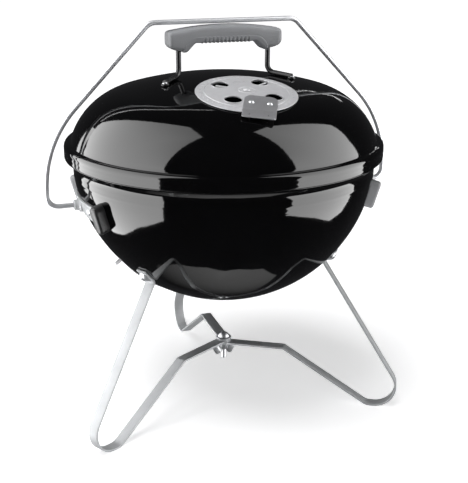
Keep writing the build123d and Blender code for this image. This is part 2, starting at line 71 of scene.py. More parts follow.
# ---- Finishes ---------------------------------------------------------------------------------
def put(tree: bpy.types.NodeTree, kind: str, sources: dict | None = None,
        values: dict | None = None) -> bpy.types.Node:
    """Add a shader node.

    Args:
        tree: The node tree.
        kind: The node's type.
        sources: The output that feeds each input, by the input's name or number.
        values: The constant of each input, by the input's name or number.

    Returns:
        The node.
    """
    node = tree.nodes.new(kind)
    for key, value in (values or {}).items():
        node.inputs[key].default_value = value
    for key, source in (sources or {}).items():
        tree.links.new(source, node.inputs[key])
    return node


@dataclass(frozen=True)
class Finish:
    """A procedural finish: tone, gloss and surface relief that vary over the piece.

    Attributes are the shader's own constants, the sizes of the noise patterns (per metre) and the
    stretch of the grain, so that a brushed or drawn metal has streaks and an enamel has ripples.
    """

    name: str
    slot: str
    tone: tuple[float, float, float]
    shade: tuple[float, float, float]
    metallic: float
    rough_low: float
    rough_high: float
    mottle_scale: float = 60.0
    grain_scale: float = 900.0
    grain_stretch: tuple[float, float, float] = (1.0, 1.0, 1.0)
    relief: float = 0.1
    relief_depth: float = 0.0002
    coat: float = 0.0
    coat_rough: float = 0.03
    specular: float = 0.5

    def material(self) -> bpy.types.Material:
        """Build the finish's material once and reuse it.

        Returns:
            The material, with its nodes on Object coordinates.
        """
        found = bpy.data.materials.get(self.name)
        if found:
            return found
        made = bpy.data.materials.new(self.name)
        made.use_nodes = True
        tree = made.node_tree
        shader = tree.nodes["Principled BSDF"]
        shader.inputs["Metallic"].default_value = self.metallic
        shader.inputs["Coat Weight"].default_value = self.coat
        shader.inputs["Coat Roughness"].default_value = self.coat_rough
        shader.inputs["Specular IOR Level"].default_value = self.specular
        mottle = self._noise(tree, self.mottle_scale, 5.0, (1.0, 1.0, 1.0))
        grain = self._noise(tree, self.grain_scale, 3.0, self.grain_stretch)
        blend = put(tree, "ShaderNodeMix", {0: mottle})
        blend.data_type = "RGBA"
        blend.inputs[6].default_value = (*self.tone, 1.0)
        blend.inputs[7].default_value = (*self.shade, 1.0)
        half = put(tree, "ShaderNodeMath", {0: mottle}, {1: 0.5})
        half.operation = "MULTIPLY"
        both = put(tree, "ShaderNodeMath", {0: grain, 2: half.outputs[0]}, {1: 0.5})
        both.operation = "MULTIPLY_ADD"
        spread = put(tree, "ShaderNodeMapRange", {"Value": both.outputs[0]},
                     {"From Min": 0.3, "From Max": 0.7, "To Min": self.rough_low, "To Max": self.rough_high})
        bump = put(tree, "ShaderNodeBump", {"Height": grain},
                   {"Strength": self.relief, "Distance": self.relief_depth})
        tree.links.new(blend.outputs[2], shader.inputs["Base Color"])
        tree.links.new(spread.outputs["Result"], shader.inputs["Roughness"])
        tree.links.new(bump.outputs["Normal"], shader.inputs["Normal"])
        return made

    @staticmethod
    def _noise(tree: bpy.types.NodeTree, scale: float, detail: float,
               stretch: tuple[float, float, float]) -> bpy.types.NodeSocket:
        """Add a noise texture on stretched Object coordinates.

        Args:
            tree: The material's node tree.
            scale: Noise cells per metre.
            detail: Octaves of finer noise.
            stretch: Scale factors along X, Y and Z.

        Returns:
            The noise's output.
        """
        place = put(tree, "ShaderNodeTexCoord")
        turn = put(tree, "ShaderNodeMapping", {"Vector": place.outputs["Object"]}, {"Scale": stretch})
        noise = put(tree, "ShaderNodeTexNoise", {"Vector": turn.outputs["Vector"]},
                    {"Scale": scale, "Detail": detail})
        return noise.outputs["Fac"]


ENAMEL = Finish("gloss_black_enamel", "black_enamel", (0.0009, 0.0009, 0.001), (0.0016, 0.0016, 0.0018),
                0.0, 0.035, 0.075, mottle_scale=35.0, grain_scale=260.0, relief=0.035,
                relief_depth=0.0004, specular=0.5)
NYLON = Finish("moulded_grey_nylon", "grey_nylon", (0.235, 0.24, 0.25), (0.20, 0.205, 0.215),
               0.0, 0.42, 0.56, mottle_scale=90.0, grain_scale=2600.0, relief=0.22)
INSERT = Finish("ribbed_grey_insert", "grey_insert", (0.215, 0.22, 0.23), (0.18, 0.185, 0.195),
                0.0, 0.45, 0.6, mottle_scale=90.0, grain_scale=2600.0, relief=0.25)
# Paler copy of the grip's grey nylon for three of the stops: a painted highlight, their grey lightened for
# the light that falls on them.
PAD_NYLON_PAINTED_LIT = Finish("moulded_nylon_painted_lit", "grey_nylon", (0.34, 0.345, 0.355), (0.29, 0.295, 0.305),
                  0.0, 0.36, 0.5, mottle_scale=90.0, grain_scale=2600.0, relief=0.2)
PAD_DARK = Finish("moulded_black_nylon", "black_nylon", (0.014, 0.014, 0.015), (0.02, 0.02, 0.021),
                  0.0, 0.28, 0.42, mottle_scale=120.0, grain_scale=2400.0, relief=0.2)
STRAP_ZINC = Finish("bright_zinc_strap", "zinc_plate", (0.50, 0.51, 0.52), (0.43, 0.44, 0.45),
                    0.25, 0.46, 0.6, mottle_scale=45.0, grain_scale=700.0,
                    grain_stretch=(1.0, 1.0, 0.15), relief=0.12, relief_depth=0.0001, specular=0.3)
WIRE = Finish("bright_plated_wire", "bright_wire", (0.72, 0.73, 0.75), (0.60, 0.61, 0.63),
              0.6, 0.26, 0.36, mottle_scale=80.0, grain_scale=900.0,
              grain_stretch=(0.2, 1.0, 0.2), relief=0.02, relief_depth=0.00005)
BOLT_STEEL = Finish("polished_bolt_steel", "bright_wire", (0.62, 0.63, 0.64), (0.5, 0.51, 0.53),
                    0.7, 0.26, 0.4, mottle_scale=200.0, grain_scale=1500.0, relief=0.06)
DISC_ALLOY = Finish("satin_alloy_disc", "aluminium_disc", (0.56, 0.56, 0.575), (0.47, 0.47, 0.485),
                    0.35, 0.38, 0.55, mottle_scale=120.0, grain_scale=1200.0,
                    grain_stretch=(0.25, 1.0, 1.0), relief=0.18, relief_depth=0.00015)
TAB_ALLOY = Finish("brushed_tab_alloy", "aluminium_disc", (0.50, 0.50, 0.515), (0.42, 0.42, 0.435),
                   0.75, 0.3, 0.42, mottle_scale=120.0, grain_scale=1200.0,
                   grain_stretch=(1.0, 0.25, 1.0), relief=0.12, relief_depth=0.0001)
ROD_BLACK = Finish("black_plated_rod", "black_rod", (0.018, 0.018, 0.019), (0.03, 0.03, 0.031),
                   0.3, 0.2, 0.34, mottle_scale=150.0, grain_scale=1400.0, relief=0.1)
GRATE_STEEL = Finish("plated_grate_wire", "plated_steel", (0.58, 0.58, 0.57), (0.42, 0.41, 0.40),
                     0.8, 0.3, 0.5, mottle_scale=120.0, grain_scale=1500.0, relief=0.15)


# ---- Shape helpers ----------------------------------------------------------------------------
def arc(centre: tuple[float, float], radius: float, start: float, end: float, steps: int) -> Profile:
    """Points along an arc in a plane.

    Args:
        centre: The arc's centre.
        radius: Its radius.
        start: First angle in degrees, from the first axis.
        end: Last angle in degrees.
        steps: Number of chords.

    Returns:
        The points, both ends included.
    """
    turn = [math.radians(start + (end - start) * k / steps) for k in range(steps + 1)]
    return [(centre[0] + radius * math.cos(t), centre[1] + radius * math.sin(t)) for t in turn]


def rounded_path(points: Sequence[Vector], radii: Sequence[float], steps: int = 10) -> list[Vector]:
    """Straight runs joined by tangent arcs.

    Args:
        points: The corners of the path, ends included.
        radii: One radius for each inner corner.
        steps: Chords in each arc.

    Returns:
        The points of the rounded path.
    """
    route = [points[0].copy()]
    for before, corner, after, radius in zip(points, points[1:], points[2:], radii):
        into = (corner - before).normalized()
        out = (after - corner).normalized()
        turn = into.angle(out)
        reach = radius * math.tan(turn / 2)
        start = corner - into * reach
        inward = (out - into * into.dot(out)).normalized()
        for k in range(steps + 1):
            a = turn * k / steps
            route.append(start + into * (radius * math.sin(a)) + inward * (radius * (1 - math.cos(a))))
    route.append(points[-1].copy())
    return route


def lathe(profile: Profile, steps: int = 96, closed: bool = False,
          angle: float = 360.0) -> bmesh.types.BMesh:
    """Spin a profile of (radius, height) about Z.

    Args:
        profile: The section; an open one starts and ends on the axis.
        steps: Chords round the turn.
        closed: Whether the section's last point joins its first.
        angle: How far it turns, in degrees.

    Returns:
        The turned shape, closed at its ends.
    """
    bm = bmesh.new()
    verts = [bm.verts.new((max(r, 0.0), 0.0, z)) for r, z in profile]
    edges = [bm.edges.new(pair) for pair in zip(verts, verts[1:])]
    if closed:
        edges.append(bm.edges.new((verts[-1], verts[0])))
    whole = angle >= 360.0
    bmesh.ops.spin(bm, geom=verts + edges, cent=(0, 0, 0), axis=(0, 0, 1),
                   angle=math.radians(angle), steps=steps, use_merge=whole)
    bmesh.ops.remove_doubles(bm, verts=bm.verts, dist=0.004 * MM)
    if not whole:
        bmesh.ops.holes_fill(bm, edges=[e for e in bm.edges if e.is_boundary], sides=0)
    bmesh.ops.recalc_face_normals(bm, faces=bm.faces)
    return bm


def barrel(radius: float, length: float, base: float = 0.0, sides: int = 32,
           ease: float = 0.0) -> bmesh.types.BMesh:
    """A capped cylinder on Z with eased ends.

    Args:
        radius: Its radius.
        length: Its length.
        base: Height of its lower end.
        sides: Facets round it.
        ease: Bevel of both rims, or none at zero.

    Returns:
        The cylinder.
    """
    bm = bmesh.new()
    bmesh.ops.create_cone(bm, cap_ends=True, segments=sides, radius1=radius, radius2=radius,
                          depth=length, matrix=offset(0, 0, base + length / 2))
    if ease:
        rims = [e for e in bm.edges if e.calc_face_angle(0) > 1.0]
        soften(bm, rims, ease, 3)
    return bm


def block(size: tuple[float, float, float], place: Matrix = Matrix.Identity(4)) -> bmesh.types.BMesh:
    """A box of a size, centred on a place.

    Args:
        size: Its extents.
        place: Where its centre sits and how it is turned.

    Returns:
        The box.
    """
    bm = bmesh.new()
    bmesh.ops.create_cube(bm, size=1.0, matrix=place @ Matrix.Diagonal((*size, 1)))
    return bm


def soften(bm: bmesh.types.BMesh, edges: Iterable[bmesh.types.BMEdge], offset: float,
           segments: int = 2) -> None:
    """Round some edges of a shape.

    Args:
        bm: The shape.
        edges: The edges to round.
        offset: Width of the rounding.
        segments: Facets across it.
    """
    bmesh.ops.bevel(bm, geom=list(edges), offset=offset, segments=segments, profile=0.5,
                    affect="EDGES", clamp_overlap=True, material=-1)


def sharp_edges(bm: bmesh.types.BMesh, degrees: float = 50.0) -> list[bmesh.types.BMEdge]:
    """The edges of a shape that turn by more than an angle."""
    return [e for e in bm.edges if e.calc_face_angle(0.0) > math.radians(degrees)]


def slab(outline: Profile, depth: float, ease: float = 0.0) -> bmesh.types.BMesh:
    """A plate whose outline lies in X and Z, centred on Y.

    Args:
        outline: The closed outline.
        depth: The plate's extent along Y.
        ease: Rounding of its edges, or none at zero.

    Returns:
        The plate.
    """
    bm = bmesh.new()
    face = bm.faces.new([bm.verts.new((x, -depth / 2, z)) for x, z in outline])
    grown = bmesh.ops.extrude_face_region(bm, geom=[face])["geom"]
    verts = [g for g in grown if isinstance(g, bmesh.types.BMVert)]
    bmesh.ops.translate(bm, verts=verts, vec=(0, depth, 0))
    bmesh.ops.recalc_face_normals(bm, faces=bm.faces)
    if ease:
        soften(bm, sharp_edges(bm), ease, 2)
    return bm


def strip_outline(route: Sequence[Vector], thickness: float) -> Profile:
    """The outline of a strip of even thickness whose middle follows a route in X and Z.

    Args:
        route: Points of the strip's middle line.
        thickness: The strip's thickness.

    Returns:
        The closed outline.
    """
    upper: Profile = []
    lower: Profile = []
    for k, point in enumerate(route):
        ahead = route[min(k + 1, len(route) - 1)] - route[max(k - 1, 0)]
        ahead.normalize()
        side = Vector((-ahead.z, 0, ahead.x)) * (thickness / 2)
        upper.append((point.x + side.x, point.z + side.z))
        lower.append((point.x - side.x, point.z - side.z))
    return upper + lower[::-1]


def tube(route: Sequence[Vector], radius: float, resolution: int = 5) -> bmesh.types.BMesh:
    """A round wire along a route.

    Args:
        route: The points of the wire's middle line.
        radius: The wire's radius.
        resolution: How finely its section is divided.

    Returns:
        The wire, capped at both ends.
    """
    path = bpy.data.curves.new("wire_path", "CURVE")
    path.dimensions = "3D"
    spline = path.splines.new("POLY")
    spline.points.add(len(route) - 1)
    for point, place in zip(spline.points, route):
        point.co = (*place, 1.0)
    path.bevel_depth = radius
    path.bevel_resolution = resolution
    path.use_fill_caps = True
    holder = bpy.data.objects.new("wire_path", path)
    bpy.context.scene.collection.objects.link(holder)
    graph = bpy.context.evaluated_depsgraph_get()
    mesh = bpy.data.meshes.new_from_object(holder.evaluated_get(graph))
    bm = bmesh.new()
    bm.from_mesh(mesh)
    bmesh.ops.remove_doubles(bm, verts=bm.verts, dist=0.002 * MM)
    bmesh.ops.recalc_face_normals(bm, faces=bm.faces)
    bpy.data.objects.remove(holder)
    bpy.data.curves.remove(path)
    bpy.data.meshes.remove(mesh)
    return bm


def loft(rings: Sequence[Sequence[Vector]]) -> bmesh.types.BMesh:
    """A skin over closed rings that hold the same number of points.

    Args:
        rings: The rings in order.

    Returns:
        The skin, capped at both ends.
    """
    bm = bmesh.new()
    ring = bmesh.ops.create_circle(bm, segments=len(rings[0]), radius=1.0)["verts"]
    for vert, place in zip(ring, rings[0]):
        vert.co = place
    edges = list(bm.edges)
    for places in rings[1:]:
        grown = bmesh.ops.extrude_edge_only(bm, edges=edges)["geom"]
        fresh = {g for g in grown if isinstance(g, bmesh.types.BMVert)}
        ring = [next(e.other_vert(v) for e in v.link_edges if e.other_vert(v) in fresh) for v in ring]
        for vert, place in zip(ring, places):
            vert.co = place
        edges = [g for g in grown if isinstance(g, bmesh.types.BMEdge)
                 and g.verts[0] in fresh and g.verts[1] in fresh]
    bmesh.ops.holes_fill(bm, edges=[e for e in bm.edges if e.is_boundary], sides=0)
    bmesh.ops.recalc_face_normals(bm, faces=bm.faces)
    return bm


def moved(bm: bmesh.types.BMesh, place: Matrix) -> bmesh.types.BMesh:
    """The same shape carried to a place."""
    bmesh.ops.transform(bm, matrix=place, verts=bm.verts)
    return bm


def joined(*shapes: bmesh.types.BMesh) -> bmesh.types.BMesh:
    """Several shapes in one, the first of which is kept and grown."""
    whole = shapes[0]
    for shape in shapes[1:]:
        spare = bpy.data.meshes.new("spare")
        shape.to_mesh(spare)
        whole.from_mesh(spare)
        bpy.data.meshes.remove(spare)
        shape.free()
    return whole


def carved(bm: bmesh.types.BMesh, cutters: Sequence[bmesh.types.BMesh]) -> bmesh.types.BMesh:
    """Cut holes in a shape.

    Args:
        bm: The shape.
        cutters: The shapes taken out of it.

    Returns:
        The cut shape.
    """
    names = ("carve_target", "carve_tool")
    objects = []
    for name, shape in zip(names, (bm, joined(*cutters))):
        mesh = bpy.data.meshes.new(name)
        shape.to_mesh(mesh)
        shape.free()
        objects.append(bpy.data.objects.new(name, mesh))
        bpy.context.scene.collection.objects.link(objects[-1])
    cut = objects[0].modifiers.new("carve", "BOOLEAN")
    cut.operation = "DIFFERENCE"
    cut.solver = "EXACT"
    cut.object = objects[1]
    graph = bpy.context.evaluated_depsgraph_get()
    result = bpy.data.meshes.new_from_object(objects[0].evaluated_get(graph))
    made = bmesh.new()
    made.from_mesh(result)
    for holder in objects:
        mesh = holder.data
        bpy.data.objects.remove(holder)
        bpy.data.meshes.remove(mesh)
    bpy.data.meshes.remove(result)
    return made


def piece(name: str, bm: bmesh.types.BMesh, body: Body, finish: Finish, stands_for: Sequence[str],
          crease: float = 35.0) -> bpy.types.Object:
    """Turn a shape into a finished piece that rides on a body.

    Args:
        name: The piece's name.
        bm: Its shape, in place.
        body: The body that carries it.
        finish: Its finish.
        stands_for: The CAD nodes that it replaces.
        crease: Edges that turn by more than this many degrees stay sharp.

    Returns:
        The piece.
    """
    mesh = bpy.data.meshes.new(name)
    bm.to_mesh(mesh)
    bm.free()
    mesh.shade_smooth()
    mesh.set_sharp_from_angle(angle=math.radians(crease))
    mesh.materials.clear()
    mesh.materials.append(finish.material())
    made = bpy.data.objects.new(name, mesh)
    bpy.context.scene.collection.objects.link(made)
    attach(made, body.value)
    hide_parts(*stands_for)
    LOG.info("%s: %d faces on %s", name, len(mesh.polygons), body.value)
    return made


def dress(node: str, finish: Finish) -> None:
    """Give a CAD node a finish.

    Args:
        node: The CAD node's name.
        finish: The finish it gets.
    """
    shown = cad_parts[node]
    shown.data.materials.clear()
    shown.data.materials.append(finish.material())


def offset(x: float, y: float, z: float) -> Matrix:
    """A shift without a turn."""
    return Matrix.Translation((x, y, z))


def turn_z(degrees: float) -> Matrix:
    """A turn about the kettle's axis."""
    return Matrix.Rotation(math.radians(degrees), 4, "Z")


def on_sphere(centre_z: float, radius: float, tilt: float, azimuth: float, hang: bool = False) -> Matrix:
    """A place on a sphere round the kettle's axis, with Z outwards and X level.

    Args:
        centre_z: Height of the sphere's centre.
        radius: The sphere's radius.
        tilt: Angle from straight up, or from straight down when it hangs, in degrees.
        azimuth: Direction round the axis in degrees.
        hang: Whether the tilt counts from straight down.

    Returns:
        The place's matrix.
    """
    flat, side = math.radians(azimuth), math.sin(math.radians(tilt))
    rise = math.cos(math.radians(tilt)) * (-1 if hang else 1)
    z_axis = Vector((side * math.cos(flat), side * math.sin(flat), rise))
    x_axis = Vector((-math.sin(flat), math.cos(flat), 0))
    y_axis = z_axis.cross(x_axis)
    place = Matrix((x_axis, y_axis, z_axis)).transposed().to_4x4()
    place.translation = Vector((0, 0, centre_z)) + z_axis * radius
    return place


def cap_profile(sphere: float, radius: float, low: float, thick: float) -> Profile:
    """Section of a dished disc that follows a sphere, its origin on the sphere's surface.

    Args:
        sphere: The sphere's radius.
        radius: The disc's radius.
        low: Height of the disc's underside above the sphere.
        thick: The disc's thickness.

    Returns:
        The open section from its top's middle to its underside's middle.
    """
    def at(level: float, r: float) -> float:
        return math.sqrt((sphere + level) ** 2 - r ** 2) - sphere

    rim = thick / 2
    steps = 24
    top = [(radius - rim) * k / steps for k in range(steps + 1)]
    section = [(r, at(low + thick, r)) for r in top]
    edge_z = at(low + rim, radius - rim)
    section += arc((radius - rim, edge_z), rim, 60, -60, 4)
    section += [(r, at(low, r)) for r in reversed(top)]
    return section


# ---- Lid --------------------------------------------------------------------------------------
@dataclass
class Lid:
    """The domed lid: crown, shoulder, rolled bead, skirt and hem."""

    top: float = 401.3 * MM
    crown: float = 439.7 * MM
    shoulder: float = 84.8 * MM
    shoulder_axis: float = 95.3 * MM
    bead: float = 5.0 * MM
    bead_z: float = 323.8 * MM
    skirt: float = 183.7 * MM
    seam: float = 313.2 * MM
    hem: float = 179.5 * MM
    skirt_wave: float = 0.05 * MM
    sheet: float = 1.2 * MM
    vent_pitch: float = 32.0 * MM
    vent: float = 9.3 * MM
    damper_reach: float = 79.0 * MM

    @property
    def crown_z(self) -> float:
        """Height of the crown's centre."""
        return self.top - self.crown

    @property
    def shoulder_z(self) -> float:
        """Height of the shoulder arc's centre."""
        return self.crown_z + math.sqrt((self.crown - self.shoulder) ** 2 - self.shoulder_axis ** 2)

    def dome_height(self, radius: float) -> float:
        """Height of the crown at a distance from the axis."""
        return self.crown_z + math.sqrt(self.crown ** 2 - radius ** 2)

    def damper_place(self) -> Matrix:
        """Where the damper's disc sits on the crown, its Y towards the lid's middle."""
        tilt = math.degrees(math.asin(self.damper_reach / self.crown))
        return on_sphere(self.crown_z, self.crown, tilt, -90)

    def dome(self, inset: float, low: float) -> Profile:
        """Section of the dome from the axis down to a height.

        Args:
            inset: Distance inside the outer skin.
            low: Height at which the section stops.

        Returns:
            The section's points.
        """
        join = math.degrees(math.atan2(self.shoulder_axis, self.shoulder_z - self.crown_z))
        last = math.degrees(math.asin((low - self.shoulder_z) / (self.shoulder - inset)))
        section = arc((0, self.crown_z), self.crown - inset, 90, 90 - join, 18)
        section += arc((self.shoulder_axis, self.shoulder_z), self.shoulder - inset, 90 - join, last, 30)[1:]
        return section

    def profile(self) -> Profile:
        """The closed-up section of the whole lid, outside first."""
        eased = 1.0 * MM
        ledge = self.bead_z + self.bead
        axis = self.skirt - self.bead
        outside = self.dome(0.0, ledge + eased)
        root = outside[-1][0] + 0.15 * MM
        outside += [(root + 0.2 * MM, ledge + 0.35 * MM), (root + 0.8 * MM, ledge + 0.05 * MM)]
        outside += arc((axis, self.bead_z), self.bead, 84, 4, 12)
        for k in range(1, 12):
            z = self.bead_z - (self.bead_z - self.seam - 1.0 * MM) * k / 12
            wave = 0.5 - 0.5 * math.cos(2 * math.pi * 2 * k / 12)
            outside.append((self.skirt - self.skirt_wave * wave, z))
        outside += arc((self.skirt - 0.6 * MM, self.seam + 0.6 * MM), 0.6 * MM, 0, -90, 5)
        outside += arc((self.hem + 0.6 * MM, self.seam + 0.6 * MM), 0.6 * MM, 270, 90, 6)
        inner = self.sheet
        inside = [(self.skirt - inner - 0.5 * MM, self.seam + inner)]
        inside += [(self.skirt - inner, self.seam + 2.2 * MM)]
        inside += arc((axis, self.bead_z), self.bead - inner, 0, 84, 8)
        inside += self.dome(inner, ledge - 0.6 * MM)[::-1]
        return outside + inside

    def build(self) -> None:
        """Make the shell with its vent holes."""
        shell = carved(lathe(self.profile(), SHELL_STEPS), self.vent_tools(self.damper_place()))
        piece("lid_enamel_shell", shell, Body.LID, ENAMEL, ["lid_shell"])

    def vent_tools(self, place: Matrix) -> list[bmesh.types.BMesh]:
        """Cylinders that cut the four vent holes.

        Args:
            place: Where the vents' circle sits.

        Returns:
            The cutters.
        """
        tools = []
        for quarter in range(4):
            at = turn_z(45 + 90 * quarter) @ offset(self.vent_pitch, 0, 0)
            tools.append(moved(barrel(self.vent, 16 * MM, -8 * MM, 40), place @ at))
        return tools


# ---- Lid handle -------------------------------------------------------------------------------
@dataclass
class LidHandle:
    """The bent rod, its eyes and screws, and the arched grip with its ribbed insert."""

    lid: Lid
    rod: float = 3.0 * MM
    post: float = 52.7 * MM
    core_z: float = 443.5 * MM
    foot: tuple[float, float] = (74.0 * MM, -22.0 * MM)
    half: float = 66.0 * MM
    depth: float = 12.5 * MM
    top_z: float = 456.2 * MM
    shoulder_z: float = 450.2 * MM
    arch_z: float = 438.6 * MM
    foot_z: float = 428.8 * MM
    arch_half: float = 34.0 * MM
    arch_run: float = 13.0 * MM
    end_half: float = 51.0 * MM
    end_run: float = 16.0 * MM
    end_rise: float = 5.5 * MM
    insert_half: float = 49.0 * MM
    insert_crown: float = 31.0 * MM
    insert_top: float = 446.0 * MM
    flutes: int = 12
    flute_pitch: float = 4.6 * MM

    def foot_place(self, side: int) -> Matrix:
        """Where one foot's eye sits on the crown."""
        x, y = side * self.foot[0], self.foot[1]
        radius = math.hypot(x, y)
        tilt = math.degrees(math.asin(radius / self.lid.crown))
        return on_sphere(self.lid.crown_z, self.lid.crown, tilt, math.degrees(math.atan2(y, x)))

    def build_rod(self) -> None:
        """Make the rod with its flattened eyes, and dress the screws and nuts."""
        lift = self.rod + CLEARANCE
        route: list[Vector] = []
        for side in (-1, 1):
            place = self.foot_place(side)
            eye = place.translation + place.col[2].to_3d() * lift
            base = Vector((side * self.post, 0, self.lid.dome_height(self.post) + lift))
            half = [eye, base, Vector((side * self.post, 0, self.core_z))]
            route += half if side < 0 else half[::-1]
        rod = tube(rounded_path(route, [9.0 * MM] * 4, 12), self.rod, 6)
        for side in (-1, 1):
            eye = barrel(4.6 * MM, 2.4 * MM, 0.4 * MM, 36, 0.6 * MM)
            rod = joined(rod, moved(eye, self.foot_place(side)))
        piece("bent_handle_rod", rod, Body.LID, ROD_BLACK, ["handle_rod"])
        dress("handle_nuts", STRAP_ZINC)
        heads = []
        for side in (-1, 1):
            head = lathe([(0, 4.3 * MM), (1.6 * MM, 4.2 * MM), (2.7 * MM, 3.8 * MM), (3.0 * MM, 3.2 * MM),
                          (3.0 * MM, 3.0 * MM), (0, 3.0 * MM)], 32)
            slot = block((10 * MM, 0.7 * MM, 1.0 * MM), offset(0, 0, 4.4 * MM))
            heads.append(moved(carved(head, [slot]), self.foot_place(side)))
        piece("handle_foot_screws", joined(*heads), Body.LID, BOLT_STEEL, ["handle_screws"])

    def underside(self, x: float) -> float:
        """Height of the grip's underside: an arch between two deep ends."""
        reach = abs(x)
        drop = min(max((reach - self.arch_half) / self.arch_run, 0.0), 1.0)
        drop = drop * drop * (3 - 2 * drop)
        rise = max((reach - self.end_half) / self.end_run, 0.0) ** 2
        return self.arch_z - (self.arch_z - self.foot_z) * drop + self.end_rise * rise

    def crest(self, x: float) -> float:
        """Height of the grip's arched top."""
        return self.top_z - (self.top_z - self.shoulder_z) * (x / self.half) ** 2

    @staticmethod
    def section(x: float, low: float, high: float, depth: float, power: float,
                waist: Callable[[float], float]) -> list[Vector]:
        """One rounded section of the grip.

        Args:
            x: The station along the grip.
            low: Height of its underside.
            high: Height of its top.
            depth: Half its depth.
            power: Squareness of the section.
            waist: Depth factor for a height from -1, below, to 1, on top.

        Returns:
            The section's points.
        """
        ring = []
        count = 56
        for k in range(count):
            t = 2 * math.pi * k / count
            c, s = math.cos(t), math.sin(t)
            y = math.copysign(abs(c) ** (2 / power), c)
            z = math.copysign(abs(s) ** (2 / power), s)
            ring.append(Vector((x, depth * y * waist(z), (low + high) / 2 + (high - low) / 2 * z)))
        return ring

    def build_grip(self) -> None:
        """Make the grip with rounded ends, and the fluted insert under its curved seam."""
        ease = 4.5 * MM
        stations = [-self.half + ease * (1 - math.cos(math.pi / 2 * k / 8)) for k in range(9)]
        inner = self.half - ease
        stations += [-inner + 2 * inner * k / 64 for k in range(1, 64)]
        stations += [-x for x in reversed(stations[:9])]
        rings = []
        for x in stations:
            over = max(abs(x) - inner, 0.0) / ease
            round_off = math.sqrt(max(1 - over ** 2, 0.0))
            shrink = 0.68 + 0.32 * round_off
            low = self.underside(x) + (1.2 * MM if abs(x) < 44 * MM else 0.0)
            high = self.crest(x)
            middle, tall = (low + high) / 2, (high - low) / 2
            tall *= 0.78 + 0.22 * round_off
            rings.append(self.section(x, middle - tall, middle + tall, self.depth * shrink, 4.6,
                                      lambda z: 1.0 - 0.05 * max(z, 0.0)))
        grip = loft(rings)
        piece("moulded_lid_grip", grip, Body.LID, NYLON, ["handle_grip"], 50.0)
        self.build_insert()

    def build_insert(self) -> None:
        """Make the insert: finger flutes below, a curved seam above."""
        reach, count = self.insert_half, 288
        rings = []
        for k in range(count + 1):
            x = -reach + 2 * reach * k / count
            past = max(abs(x) - self.insert_crown, 0.0) / (reach - self.insert_crown)
            low = self.underside(x)
            foot = low + 1.0 * MM
            seam = foot + (self.insert_top - foot) * math.sqrt(max(1 - past ** 2, 0.0))
            fluted = abs(x) < self.flutes * self.flute_pitch / 2
            flute = math.sin(math.pi * x / self.flute_pitch) ** 2 if fluted else 0.3
            ends = min((reach - abs(x)) / (1.5 * MM), 1.0)
            depth = self.depth + 0.3 * MM - 0.5 * MM * (1 - ends)
            rings.append(self.section(x, low - 2.2 * MM * (1 - flute), seam, depth, 4.6,
                                      lambda z, f=flute: 1.0 - 0.10 * f * max(0.35 - z, 0.0)))
        insert = loft(rings)
        piece("fluted_grip_insert", insert, Body.LID, INSERT, ["handle_grip_insert"], 60.0)


